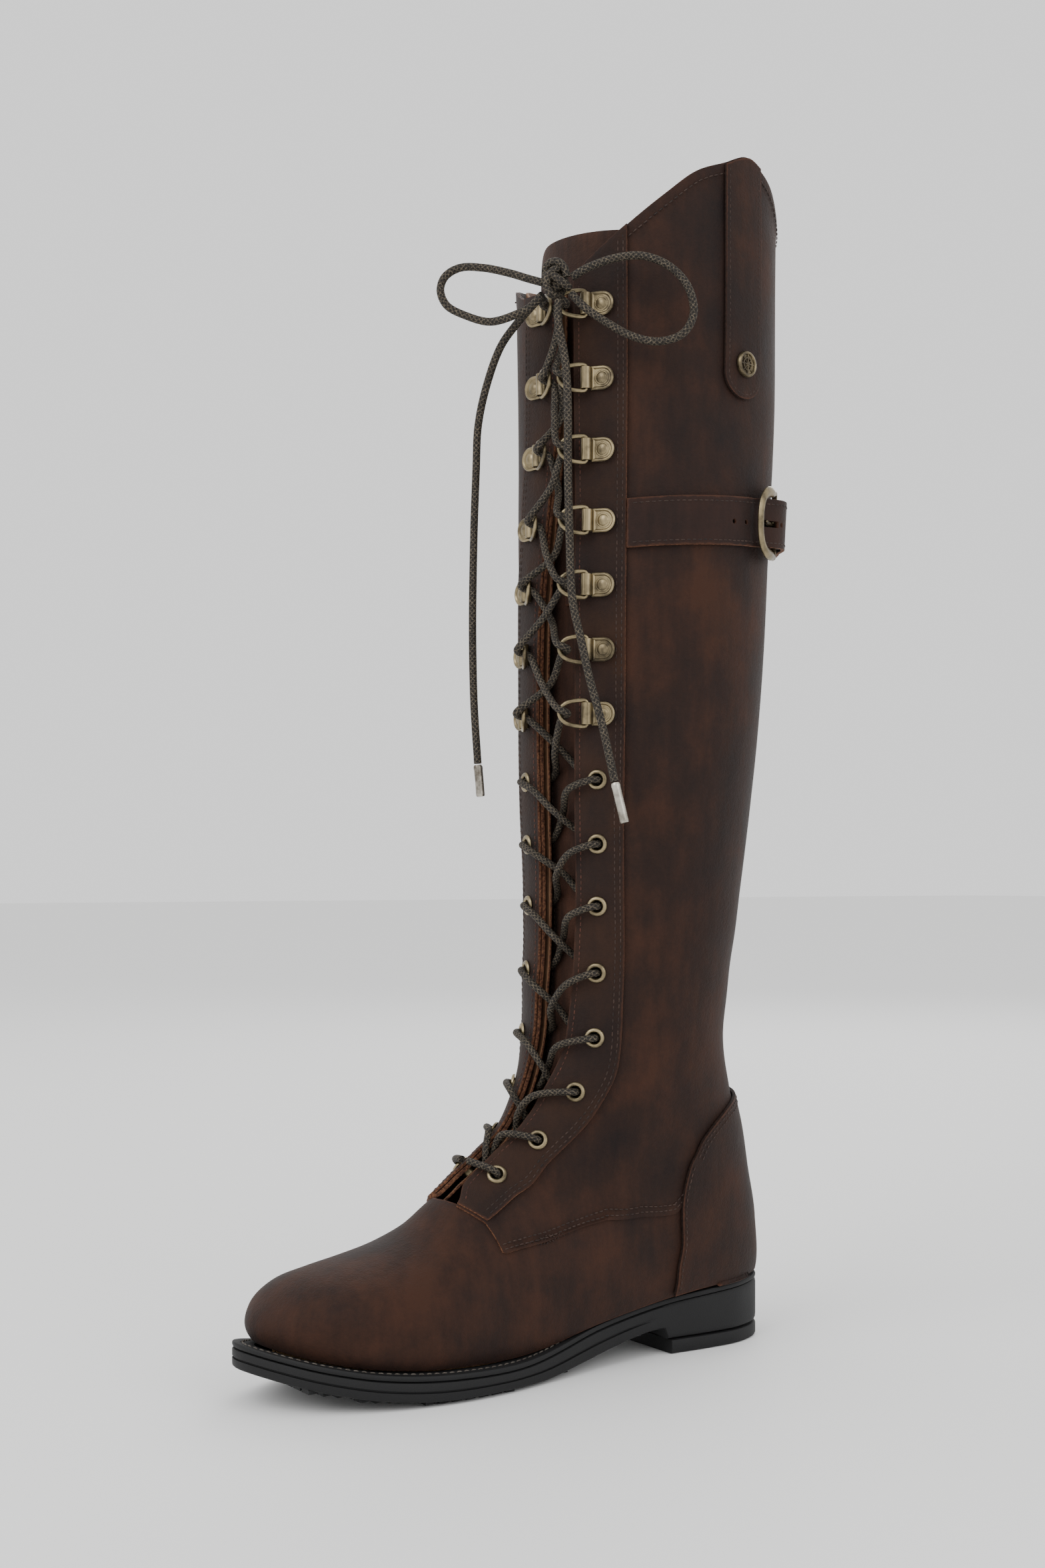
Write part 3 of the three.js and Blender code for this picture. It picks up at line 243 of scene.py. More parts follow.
def metal(name, dark, bright, rough=0.3, wearScale=260):
    graph = Graph(name)
    place = graph.coordinates()
    tarnish = graph.noise(place, wearScale, 4, 0.65)
    broad = graph.noise(place, 55, 3, 0.6)
    fine = graph.noise(place, 2400, 2, 0.6)
    mask = (tarnish * 0.35 + broad * 0.75).ramp(0.36, 0.66)
    graph.set(baseColor=graph.mix(mask, dark, bright), metallic=mask * 0.25 + 0.75)
    graph.set(roughness=tarnish * 0.2 + rough, normal=graph.bump(fine * 0.5 + tarnish, 0.00006))
    return graph.material


def thread(name, dark, light):
    graph = Graph(name, specularIorLevel=0.3)
    place = graph.coordinates()
    strand = graph.noise(place, 1700, 2, 0.6)
    soil = graph.noise(place, 130, 2, 0.5)
    graph.set(baseColor=graph.mix((strand * 0.6 + soil * 0.5).ramp(0.38, 0.72), dark, light))
    graph.set(roughness=strand * 0.2 + 0.6, normal=graph.bump(strand, 0.00015))
    return graph.material


def rubber(name, dark, light, rough=0.55):
    graph = Graph(name, specularIorLevel=0.35)
    place = graph.coordinates()
    dust = graph.noise(place, 40, 4, 0.6)
    fine = graph.noise(place, 1500, 2, 0.6)
    colour = graph.mix(dust.ramp(0.4, 0.75) * 0.7, dark, light)
    edge = (fine * 1.2 - graph.attribute("edgeMm") * 0.7).ramp(0.1, 0.7) * 0.3
    graph.set(baseColor=graph.mix(edge, colour, light), roughness=dust * 0.25 + rough)
    graph.set(normal=graph.bump(fine + dust * 0.6, 0.00012))
    return graph.material


def braid(name, dark, middle, fleckAndHighlight):
    graph = Graph(name, specularIorLevel=0.3)
    along, round_ = graph.uv()
    first = ((along * 1.55 + round_ * 5.0) * math.pi).sine().absolute()
    second = ((along * 1.55 - round_ * 5.0) * math.pi).sine().absolute()
    height = first.larger(second)
    place = graph.coordinates()
    soil = graph.noise(place, 70, 3, 0.6)
    spots = graph.noise(place, 1500, 2, 0.7)
    # Painted shade: the grooves between braid strands are darkened in the colour, with some random spots mixed in.
    shade = (height * 0.85 + spots * 0.3 - 0.12).ramp(0.45, 1.0)
    colour = graph.mix(shade, dark, graph.mix(soil.ramp(0.3, 0.7), middle, dark))
    # Partly painted highlight: the strand crests are lightened towards the fleck colour, mixed with random real flecks
    # of the yarn.
    flecksAndPaintedHighlight = (spots * 0.8 + height * 0.55).ramp(0.86, 1.06) * 0.75
    graph.set(baseColor=graph.mix(flecksAndPaintedHighlight, colour, fleckAndHighlight), roughness=spots * 0.3 + 0.55)
    graph.set(normal=graph.bump(height + spots * 0.35, 0.00035, 0.9))
    return graph.material


nubuck = leather("brown_nubuck", paint(22, 12, 10), paint(37, 22, 16), paint(55, 33, 23), paint(75, 43, 28))
facingHide = leather(
    "facing_leather", paint(21, 13, 11), paint(34, 21, 16), paint(47, 30, 21), paint(65, 38, 26), streaks=0.15,
)
tongueHide = leather(
    "tongue_leather", paint(29, 17, 13), paint(47, 29, 21), paint(65, 41, 30), paint(81, 48, 33), streaks=0.9,
)
strapHide = leather(
    "strap_leather", paint(25, 14, 11), paint(38, 23, 18), paint(49, 30, 23), paint(74, 45, 31), grain=0.8,
)
liningHide = leather(
    "lining_leather", paint(78, 54, 38), paint(104, 74, 53), paint(126, 94, 70), paint(140, 104, 78), grain=0.5,
    streaks=0.1,
)
cutEdge = rawEdge("cut_edge", paint(58, 36, 27), paint(124, 84, 60))
darkEdge = rawEdge("dark_edge", paint(24, 16, 13), paint(48, 32, 25))
brass = metal("antique_brass", paint(58, 50, 38), paint(150, 136, 106), 0.26)
steel = metal("aglet_steel", paint(86, 78, 68), paint(190, 184, 172), 0.25)
brownThread = thread("brown_thread", paint(22, 15, 13), paint(66, 49, 41))
redThread = thread("red_thread", paint(40, 22, 17), paint(88, 52, 39))
paleThread = thread("pale_thread", paint(60, 54, 49), paint(98, 92, 85))
blackRubber = rubber("black_rubber", paint(7, 7, 8), paint(20, 20, 21))
# The third colour serves both the lace's real flecks and the painted highlight on the strand crests.
cord = braid("lace_cord", paint(23, 19, 15), paint(45, 38, 30), paint(104, 94, 78))
board = rawEdge("board", paint(120, 92, 62), paint(164, 132, 94))
shankSteel = metal("shank_steel", paint(90, 92, 94), paint(170, 172, 176), 0.35)
insoleCloth = thread("footbed_fabric", paint(34, 31, 29), paint(66, 62, 58))
print("materials ready")

# Each ring is back [y, z], front [y, z], half width, middle, widest place, and squareness behind and in front.
rings = [
    (35, 560, -88, 560, 58, 7, 0.5, 2, 2), (34.9, 500, -87.7, 500, 57.8, 7, 0.5, 2, 2),
    (34.4, 440, -87.4, 440, 57.5, 7, 0.5, 2, 2), (31.6, 380, -87.6, 380, 56.2, 7.6, 0.5, 2, 2),
    (28.6, 330, -87.8, 330, 54.4, 8.2, 0.5, 2, 2), (24.7, 283, -87.4, 283, 52.2, 8.5, 0.5, 2, 2),
    (21, 250, -87.2, 250, 49.8, 8.5, 0.5, 2, 2), (17.5, 220, -86, 220, 46.9, 8, 0.5, 2, 2),
    (14.2, 190, -85.6, 190, 44.2, 7.5, 0.5, 2, 2), (11.4, 160, -86, 160, 41.3, 6.5, 0.5, 2, 2),
    (11, 137, -87.3, 140, 39.5, 6, 0.49, 2, 2), (15, 119, -91, 125, 38, 5, 0.47, 2.1, 2),
    (20.8, 101, -96.2, 112, 36.5, 4, 0.46, 2.2, 2), (25.8, 80, -103, 102.5, 35, 3, 0.45, 2.3, 2),
    (31, 55, -110.8, 96.5, 34, 2, 0.45, 2.4, 2), (29.5, 27, -118, 90.5, 33.5, 1.5, 0.46, 2.6, 2),
    (5, 20, -124.5, 85.5, 34, 1.5, 0.47, 3, 2), (-30, 15, -131, 80, 35, 2, 0.46, 3.4, 2),
    (-65, 10, -138.5, 74.5, 36, 2.5, 0.45, 3.6, 2.05), (-98, 5.5, -147, 67.5, 38, 2.5, 0.44, 3.6, 2.1),
    (-128, 4, -158.5, 61.5, 41, 2, 0.44, 3.5, 2.15), (-155, 5, -173, 57, 42, 1.5, 0.45, 3.3, 2.2),
    (-178, 8, -188, 53.5, 39, 0.5, 0.47, 3, 2.2), (-197, 13, -201, 49.5, 32, -2.5, 0.49, 2.7, 2.2),
    (-211, 20, -211.5, 42, 20, -5.5, 0.53, 2.3, 2.1), (-218.5, 31, -218.5, 31, 0, -7, 0.5, 2, 2),
]
toeTip = len(rings) - 1
ringTable = np.array(rings, float)
beforeTip = ringTable[-2]
beyondTip = np.array([
    beforeTip[2], beforeTip[3], beforeTip[0], beforeTip[1],
    -beforeTip[4], beforeTip[5], 1 - beforeTip[6], beforeTip[8], beforeTip[7],
])
track = np.vstack([2 * ringTable[0] - ringTable[1], ringTable, beyondTip])


def ringAt(u):
    place = np.clip(np.asarray(u, float), 0, toeTip - 1e-6)
    i = np.floor(place).astype(int)
    t = (place - i)[..., None]
    p0, p1, p2, p3 = (track[i + k] for k in range(4))
    bend = 2 * p0 - 5 * p1 + 4 * p2 - p3
    twist = 3 * p1 - p0 - 3 * p2 + p3
    return 0.5 * (2 * p1 + (p2 - p0) * t + bend * t * t + twist * t ** 3)


def lastPoint(u, angle):
    u, angle = np.broadcast_arrays(np.asarray(u, float), np.asarray(angle, float))
    backY, backZ, frontY, frontZ, half, middle, widest, bluntBack, bluntFront = np.moveaxis(ringAt(u), -1, 0)
    c, s = np.cos(np.radians(angle)), np.sin(np.radians(angle))
    blunt = bluntBack + (bluntFront - bluntBack) * (0.5 + 0.5 * c)
    reach = (np.abs(c) ** blunt + np.abs(s) ** blunt) ** (-1 / blunt)
    forward = c * reach
    share = widest + forward * np.where(forward > 0, 1 - widest, widest)
    return np.stack([
        middle + half * s * reach, backY + (frontY - backY) * share, backZ + (frontZ - backZ) * share,
    ], -1)


def toChart(u, angle):
    return (toeTip - u) * np.cos(np.radians(angle)), (toeTip - u) * np.sin(np.radians(angle))


def fromChart(a, b):
    return toeTip - np.hypot(a, b), np.degrees(np.arctan2(b, a))


def unit(vectors):
    return vectors / np.maximum(np.linalg.norm(vectors, axis=-1, keepdims=True), 1e-12)


def lastNormal(u, angle):
    a, b = toChart(np.asarray(u, float), np.asarray(angle, float))
    step = 0.02
    alongA = lastPoint(*fromChart(a + step, b)) - lastPoint(*fromChart(a - step, b))
    alongB = lastPoint(*fromChart(a, b + step)) - lastPoint(*fromChart(a, b - step))
    return unit(np.cross(alongB, alongA))


def creases(point):
    x, y, z = point[..., 0], point[..., 1], point[..., 2]
    soft = np.sin(z / 23 + x / 31) * np.sin(y / 19 - z / 57 + 1) * 0.28
    ankle = np.exp(-((z - 150) / 48) ** 2) * np.sin(z / 5.2 + y / 14 + 1.4 * np.sin(x / 16)) * 0.22
    vamp = np.exp(-((y + 128) / 26) ** 2) * np.sin(y / 4.1 - z / 17 + np.sin(x / 9)) * 0.2
    return soft + ankle + vamp * (z > 14)


def skin(u, angle, offset):
    point = lastPoint(u, angle)
    lift = np.asarray(offset, float) + creases(point)
    return point + lastNormal(u, angle) * lift[..., None]


def through(knots):
    x, y = np.array(knots, float).T
    high = np.minimum(np.arange(len(x)) + 1, len(x) - 1)
    low = np.maximum(np.arange(len(x)) - 1, 0)
    slopes = (y[high] - y[low]) / (x[high] - x[low])

    def at(place):
        p = np.clip(place, x[0], x[-1])
        i = np.clip(np.searchsorted(x, p, side="left"), 1, len(x) - 1)
        width = x[i] - x[i - 1]
        t = (p - x[i - 1]) / width
        rise = (y[i] - y[i - 1]) * t * t * (3 - 2 * t)
        return y[i - 1] + rise + width * (t * (1 - t) ** 2 * slopes[i - 1] + t * t * (t - 1) * slopes[i])

    return at


def straightThrough(knots):
    x, y = np.array(knots, float).T
    return lambda place: np.interp(place, x, y)


def lastTrue(low, high, test, steps=34):
    low, high = np.broadcast_arrays(np.asarray(low, float), np.asarray(high, float))
    yes, no = low.copy(), high.copy()
    for _ in range(steps):
        middle = (yes + no) / 2
        good = test(middle)
        yes = np.where(good, middle, yes)
        no = np.where(good, no, middle)
    return yes


openingCentre = through([
    (0, 20.5), (2.2, 20.5), (3, 18), (3.7, 15.5), (4.8, 14), (6, 15), (8, 15), (9.7, 12.5), (11.5, 6), (13, 3.5),
    (19, 3),
])
halfOpening = through([
    (0, 4.2), (2.2, 4.2), (3.2, 8), (4.4, 10.6), (6, 10), (8, 9.8), (9.7, 9), (11.5, 6.5), (13, 5), (16.3, 5.4),
    (17.4, 10), (19, 12),
])
facingRear = through([
    (0, 48), (2.7, 48.5), (5, 50), (7, 52.5), (9, 57), (10.4, 57), (11.6, 51), (13.3, 42), (15.3, 40), (17.6, 41),
])
topLine = through([
    (0, 478), (20, 478), (30, 487), (38, 494), (47, 502), (64, 517), (77, 528), (91, 534.5), (103, 540), (112, 538),
    (125, 533), (138, 524), (160, 516), (180, 512), (220, 507), (260, 502), (300, 495), (330, 488), (350, 479),
    (380, 477),
])
vampSeam = straightThrough([
    (0, 17.6), (19, 17.5), (41, 17.55), (50, 17.8), (60, 18.1), (66, 16.95), (71, 15.2), (80, 14.7), (93, 14.35),
    (101, 13.7), (107, 12.9), (120, 12.15), (141, 11.75), (180, 11.45),
])
soleTop = through([
    (-226, 26.5), (-218, 24), (-200, 19), (-180, 15), (-150, 12.3), (-110, 12.3), (-70, 20), (-25, 26), (34, 30),
])
soleSpring = through([
    (-226, 14.5), (-205, 8.2), (-185, 3.6), (-165, 0.9), (-145, 0), (-105, 0), (-80, 3.5), (-45, 10), (-30, 11),
])


def ringAtHeight(z):
    return lastTrue(np.zeros_like(np.asarray(z, float)), 10, lambda u: ringAt(u)[..., 3] > z)


def topRing(angle):
    turned = np.mod(angle, 360)
    return ringAtHeight(topLine(np.where(turned < 15, turned + 360, turned)))


def across(u, distance):
    return openingCentre(u) + np.degrees(distance / ringAt(u)[..., 4])


def featherAngle(u, side, clearance=0.6):
    def clear(angle):
        point = lastPoint(u, side * angle)
        return point[..., 2] > soleTop(point[..., 1]) + clearance

    return side * lastTrue(np.full(np.shape(u), 90.0), 180.0, clear)


def featherEnd(near, far, clearance):
    def clear(u):
        point = lastPoint(u, 180)
        return point[..., 2] > soleTop(point[..., 1]) + clearance

    return float(lastTrue(near, far, clear))


heelFeather = featherEnd(14, 15.5, 0.6)
toeFeather = featherEnd(toeTip - 0.01, toeTip - 1, 0.6)
quarterAngles = [60, 66, 71, 80, 93, 107, 122, 138, 152, 166, 179.6]
facingShares = [0, 0.34, 0.67, 1]


def quarterAngle(side, column, u):
    column, u = np.broadcast_arrays(np.asarray(column, float), np.asarray(u, float))
    front = across(u, side * (halfOpening(u) + 0.2))
    rear = openingCentre(u) + side * (facingRear(u) - openingCentre(u))
    nearOpening = front + (rear - front) * np.interp(column, range(4), facingShares)
    between = rear + (side * quarterAngles[0] - rear) * (column - 3) / 3
    behind = side * np.interp(column - 6, range(11), quarterAngles)
    return np.where(column <= 3, nearOpening, np.where(column < 6, between, behind))


def quarterSpot(side, column, share):
    top = topRing(quarterAngle(side, column, 1.3))
    bottom = vampSeam(np.abs(quarterAngle(side, column, 17.6))) - 0.05
    u = top + (bottom - top) * share
    return u, quarterAngle(side, column, u)


def quarterPlace(side, firstColumn, lastColumn, below=0.0):
    def place(s, t):
        if firstColumn == 0 and lastColumn == 16:
            column = np.interp(s, [0, 0.2, 0.27, 1], [0, 3, 6, 16])
        else:
            column = firstColumn + (lastColumn - firstColumn) * s
        return quarterSpot(side, column, t * (1 + below))

    return place


vampStops = [0, 20, 38, 49, 60, 66, 71, 75, 80, 86, 93, 97, 101]


def vampSeamPoint(turn):
    side = np.where(turn < 0, -1, 1)
    angle = np.interp(np.abs(turn) * 12, range(13), vampStops)
    ease = np.clip((angle - 50) / 12, 0, 1)
    return vampSeam(angle) + 0.05, side * (angle + 0.3 * ease * ease * (3 - 2 * ease))


def vampPlace(s, t, lap=0.0):
    turn = 2 * s - 1
    side = np.where(turn < 0, -1, 1)
    u = toeFeather + (16.3 - toeFeather) * np.abs(turn) ** 1.35
    edge = np.clip(featherAngle(u, side), -179.6, 179.6)
    a0, b0 = toChart(*vampSeamPoint(turn))
    a1, b1 = toChart(u, edge)
    share = t * (1 + lap) - lap
    return fromChart(a0 + (a1 - a0) * share, b0 + (b1 - b0) * share)


counterTop = through([(90, 13.4), (98, 13), (105, 12.35), (120, 11.7), (141, 11.3), (180, 11)])


def heelPatch(frontAngles, frontRings, topRingAt, backBottom, clearance):
    def place(s, t):
        turn = 2 * s - 1
        side = np.where(turn < 0, -1, 1)
        share = 1 - np.abs(turn)
        topAngle = frontAngles[0] + (180 - frontAngles[0]) * share
        bottomRing = frontRings[2] + (backBottom - frontRings[2]) * share
        angles = [
            topAngle, frontAngles[1] + (180 - frontAngles[1]) * share,
            np.abs(featherAngle(bottomRing, side, clearance)),
        ]
        places = [topRingAt(topAngle), frontRings[1] + (13.2 - frontRings[1]) * share, bottomRing]
        weights = [(1 - t) * (1 - 2 * t), 4 * t * (1 - t), t * (2 * t - 1)]
        blend = [sum(value * weight for value, weight in zip(row, weights)) for row in (places, angles)]
        return blend[0], side * blend[1]

    return place


counterPlace = heelPatch([98, 98], [13, 14.85, 16.5], counterTop, featherEnd(14, 15.5, 2.2), 2.2)
heelInside = heelPatch([109, 113], [13, 14.85, 16.05], lambda angle: vampSeam(angle) + 0.05, heelFeather, 0.6)


def strip(centre, halfWidth, top, bottom):
    def place(s, t):
        u = top + (bottom - top) * t
        return u, centre + np.degrees(halfWidth / ringAt(u)[..., 4]) * (2 * s - 1)

    return place


tongueHigh = float(ringAtHeight(504.0))


def tonguePlace(s, t):
    u = tongueHigh + (18.1 - tongueHigh) * t
    ease = np.clip(t / 0.3, 0, 1)
    width = np.minimum(20, 0.55 * ringAt(u)[..., 4]) + 22 * (1 - ease * ease * (3 - 2 * ease))
    rounding = 0.17 * np.abs(2 * s - 1) ** 9
    return u + rounding * np.maximum(0, 1 - t * 12), across(u, width * (2 * s - 1))


def strapMiddle(angle):
    return ringAtHeight(372 + 5 * np.clip((angle - 50) / 58, 0, 1.4))


degreesPerMm = 180 / (math.pi * 60)
buckleFront = 108.5
buckleWidth = 23
buckleBack = buckleFront + buckleWidth * degreesPerMm
strapTurn = math.atan(5 * degreesPerMm / 58)
strapLift = through([
    (50, 0), (108, 0), (111, 0), (buckleBack - 6, 6), (buckleBack + 3, 6.1), (buckleBack + 14, 2.8), (180, 2.8),
])


def strapPlace(start, end, width):
    def place(s, t):
        angle = start + (end - start) * t
        u = strapMiddle(angle)
        perMm = 1 / (ringAt(u)[..., 3] - ringAt(u + 1)[..., 3])
        return u + perMm * width(t) * (0.5 - s), angle

    return place


tabCentre, tabHalfWidth, tabLength = 101.5, 10.8, 107
tabTop = float(topRing(tabCentre)) + 0.02
tabBottom = float(ringAtHeight(ringAt(tabTop)[3] - tabLength))


def tabPlace(s, t, inset=0.0):
    halfWidth = tabHalfWidth - inset
    bow = 1 - np.sqrt(np.maximum(0, 1 - (2 * s - 1) ** 2 * 0.995))
    start = topRing(tabCentre + np.degrees(halfWidth / 58) * (2 * s - 1)) + 0.012
    end = tabTop + (tabBottom - tabTop) * (1 - (bow * halfWidth + inset) / tabLength)
    u = start + (end - start) * t
    return u, tabCentre + np.degrees(halfWidth / ringAt(u)[..., 4]) * (2 * s - 1)


hardwareSeat = 2.08
liningInner, liningOuter = -5.3, -4.2
tongueOuter = -10.0


def seat(u, angle, offset, turn=0.0):
    up = unit(lastPoint(u - 0.02, angle) - lastPoint(u + 0.02, angle))
    normal = lastNormal(u, angle)
    side = unit(np.cross(up, normal))
    base = np.column_stack([side, np.cross(normal, side), normal])
    c, s = math.cos(turn), math.sin(turn)
    base = base @ np.array([[c, -s, 0], [s, c, 0], [0, 0, 1]])
    return base, lastPoint(u, angle) + normal * offset


def seated(points, place):
    base, origin = place
    return np.asarray(points, float) @ base.T + origin


eyelets = [
    (15.16, 12.3), (12.95, 15.4), (11.1, 20), (9.6, 21.3), (8.46, 20), (7.5, 19.6), (6.58, 20), (5.66, 20.7),
]
hooks = [4.85, 4.26, 3.68, 3.12, 2.58, 2.07, 1.53]


def eyeletSeat(u, distance, side):
    return seat(u, float(across(u, side * distance)), 0, 0 if side > 0 else math.pi)


def hookFold(u):
    return float(halfOpening(u)) + 7


def hookSeat(u, side):
    return seat(u, float(across(u, side * hookFold(u))), hardwareSeat, 0 if side > 0 else math.pi)


print("last ready")


def settle(piece, body, nodes=()):
    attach(piece, body)
    if nodes:
        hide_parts(*nodes)
    return piece


def meshPiece(name, points, faces, material, smooth=40, uvs=None):
    data = bpy.data.meshes.new(name)
    data.from_pydata((np.asarray(points, float) * mm).tolist(), [], faces)
    data.validate()
    data.materials.append(material)
    piece = bpy.data.objects.new(name, data)
    scene.collection.objects.link(piece)
    if uvs is not None:
        layer = data.uv_layers.new(name="UVMap")
        corner = np.zeros(len(data.loops), int)
        data.loops.foreach_get("vertex_index", corner)
        layer.data.foreach_set("uv", np.asarray(uvs, float)[corner].ravel())
    deselectAll()
    piece.select_set(True)
    bpy.context.view_layer.objects.active = piece
    bpy.ops.object.mode_set(mode="EDIT")
    bpy.ops.mesh.select_all(action="SELECT")
    bpy.ops.mesh.normals_make_consistent(inside=False)
    bpy.ops.object.mode_set(mode="OBJECT")
    bpy.ops.object.shade_smooth_by_angle(angle=math.radians(smooth))
    return piece


def gather(parts):
    points, faces = [], []
    for part, partFaces in parts:
        start = sum(len(p) for p in points)
        points.append(np.asarray(part, float))
        faces += [tuple(int(i) + start for i in face) for face in partFaces]
    return np.vstack(points), faces


def stack(loops, closed=False):
    count = len(loops[0])
    points = np.vstack(loops)
    faces = []
    rows = len(loops) if closed else len(loops) - 1
    for i in range(rows):
        a, b = i * count, (i + 1) % len(loops) * count
        faces += [(a + j, a + (j + 1) % count, b + (j + 1) % count, b + j) for j in range(count)]
    if not closed:
        end = (len(loops) - 1) * count
        faces.append(tuple(range(count - 1, -1, -1)))
        faces.append(tuple(range(end, end + count)))
    return points, faces


def lathe(profile, sides, closed=True):
    turns = np.arange(sides) * 2 * math.pi / sides
    loops = [np.column_stack([r * np.cos(turns), r * np.sin(turns), np.full(sides, z)]) for r, z in profile]
    return stack(loops, closed)


def smoothPath(points, spacing, closed=False):
    points = np.asarray(points, float)
    if closed:
        padded = np.vstack([points[[-1]], points, points[:2]])
    else:
        padded = np.vstack([2 * points[0] - points[1], points, 2 * points[-1] - points[-2]])
    made = []
    for i in range(len(padded) - 3):
        p0, p1, p2, p3 = padded[i:i + 4]
        knot = [0.0]
        for a, b in ((p0, p1), (p1, p2), (p2, p3)):
            knot.append(knot[-1] + max(np.linalg.norm(b - a), 1e-9) ** 0.5)
        count = max(2, int(math.ceil(np.linalg.norm(p2 - p1) / spacing)))
        t = (knot[1] + (knot[2] - knot[1]) * np.arange(count) / count)[:, None]
        a1 = ((knot[1] - t) * p0 + (t - knot[0]) * p1) / (knot[1] - knot[0])
        a2 = ((knot[2] - t) * p1 + (t - knot[1]) * p2) / (knot[2] - knot[1])
        a3 = ((knot[3] - t) * p2 + (t - knot[2]) * p3) / (knot[3] - knot[2])
        b1 = ((knot[2] - t) * a1 + (t - knot[0]) * a2) / (knot[2] - knot[0])
        b2 = ((knot[3] - t) * a2 + (t - knot[1]) * a3) / (knot[3] - knot[1])
        made.append(((knot[2] - t) * b1 + (t - knot[1]) * b2) / (knot[2] - knot[1]))
    if not closed:
        made.append(points[[-1]])
    return np.vstack(made)


def tube(path, radius, sides, closed=False):
    path = np.asarray(path, float)
    count = len(path)
    if closed:
        tangent = unit(np.roll(path, -1, 0) - np.roll(path, 1, 0))
    else:
        tangent = unit(np.gradient(path, axis=0))
    start = np.cross(tangent[0], (0, 0, 1)) if abs(tangent[0][2]) < 0.9 else np.cross(tangent[0], (1, 0, 0))
    side = [unit(start)]
    for i in range(1, count):
        carried = side[-1] - tangent[i] * np.dot(side[-1], tangent[i])
        side.append(unit(carried))
    side = np.array(side)
    up = np.cross(tangent, side)
    radii = np.broadcast_to(np.asarray(radius, float), (count,))
    turns = np.arange(sides) * 2 * math.pi / sides
    loops = [
        path[i] + radii[i] * (np.cos(turns)[:, None] * side[i] + np.sin(turns)[:, None] * up[i]) for i in range(count)
    ]
    steps = np.linalg.norm(np.diff(path, axis=0), axis=1)
    travelled = np.concatenate([[0], np.cumsum(steps)])
    uvs = np.column_stack([np.repeat(travelled / 3.5, sides), np.tile(np.arange(sides) / sides, count)])
    points, faces = stack(loops, closed)
    return points, faces, uvs


def wrappedUvs(piece):
    layer = piece.data.uv_layers[0].data
    for face in piece.data.polygons:
        around = [layer[i].uv[1] for i in face.loop_indices]
        if len(around) == 4 and max(around) - min(around) > 0.5:
            for i in face.loop_indices:
                if layer[i].uv[1] < 0.5:
                    layer[i].uv[1] += 1


def laceTube(name, path, radius, sides=12):
    points, faces, uvs = tube(path, radius, sides)
    piece = meshPiece(name, points, faces, cord, 60, uvs)
    wrappedUvs(piece)
    return piece


def sheetPiece(
    name, place, columns, rows, outer, thickness, materials, holes=(), rounding=0.35, lift=None, foldedTop=False,
):
    deselectAll()
    bpy.ops.mesh.primitive_grid_add(x_subdivisions=columns, y_subdivisions=rows, size=1, location=(0, 0, 0))
    piece = bpy.context.active_object
    piece.name = name
    data = piece.data
    flat = np.zeros(len(data.vertices) * 3)
    data.vertices.foreach_get("co", flat)
    s, t = flat.reshape(-1, 3)[:, 0] + 0.5, flat.reshape(-1, 3)[:, 1] + 0.5
    u, angle = place(s, t)
    offset = np.full(len(s), float(outer)) if lift is None else outer + lift(s, t, u, angle)
    points = skin(u, angle, offset)
    borders = [(np.zeros_like(s), t), (np.ones_like(s), t), (s, np.zeros_like(t)), (s, np.ones_like(t))]
    rim = np.min([np.linalg.norm(skin(*place(*border), outer) - points, axis=1) for border in borders], axis=0)
    data.vertices.foreach_set("co", (points * mm).ravel())
    layer = data.attributes.new("edgeMm", "FLOAT", "POINT")
    layer.data.foreach_set("value", rim.astype(np.float32))
    layer = data.attributes.new("downShare", "FLOAT", "POINT")
    layer.data.foreach_set("value", t.astype(np.float32))
    work = bmesh.new()
    work.from_mesh(data)
    work.verts.ensure_lookup_table()
    work.normal_update()
    sample = work.verts[len(s) // 2]
    if np.dot(np.array(sample.normal), lastNormal(u[len(s) // 2], angle[len(s) // 2])) < 0:
        bmesh.ops.reverse_faces(work, faces=work.faces)
    if len(holes):
        centres = np.array([np.array(face.calc_center_median()) / mm for face in work.faces])
        doomed = np.zeros(len(centres), bool)
        for spot, radius in holes:
            doomed |= np.linalg.norm(centres - spot, axis=1) < radius
        faces = [face for face, gone in zip(work.faces, doomed) if gone]
        bmesh.ops.delete(work, geom=faces, context="FACES")
    work.to_mesh(data)
    work.free()
    for material in materials:
        data.materials.append(material)
    solid = piece.modifiers.new("thickness", "SOLIDIFY")
    solid.thickness = thickness * mm
    solid.offset = -1
    solid.use_even_offset = False
    solid.material_offset_rim = 1 if len(materials) > 1 else 0
    bevel = piece.modifiers.new("rounding", "BEVEL")
    bevel.width = rounding * mm
    bevel.segments = 2
    bevel.limit_method = "ANGLE"
    bevel.angle_limit = math.radians(50)
    bpy.context.view_layer.objects.active = piece
    for modifier in ("thickness", "rounding"):
        bpy.ops.object.modifier_apply(modifier=modifier)
    if foldedTop:
        down = data.attributes["downShare"].data
        for face in data.polygons:
            if face.material_index == 1 and max(down[i].value for i in face.vertices) < 0.004:
                face.material_index = 0
    bpy.ops.object.shade_smooth_by_angle(angle=math.radians(50))
    return piece


def beside(u, angle, distance):
    point = lastPoint(u, angle)
    travel = unit(np.gradient(point, axis=0))
    across_ = np.cross(lastNormal(u, angle), travel)
    step = 0.01
    alongU = (lastPoint(u + step, angle) - lastPoint(u - step, angle)) / (2 * step)
    alongAngle = (lastPoint(u, angle + step) - lastPoint(u, angle - step)) / (2 * step)
    goal = across_ * distance
    aa, bb = (alongU ** 2).sum(-1), (alongAngle ** 2).sum(-1)
    ab = (alongU * alongAngle).sum(-1)
    ga, gb = (goal * alongU).sum(-1), (goal * alongAngle).sum(-1)
    whole = aa * bb - ab * ab
    return u + (ga * bb - gb * ab) / whole, angle + (gb * aa - ga * ab) / whole


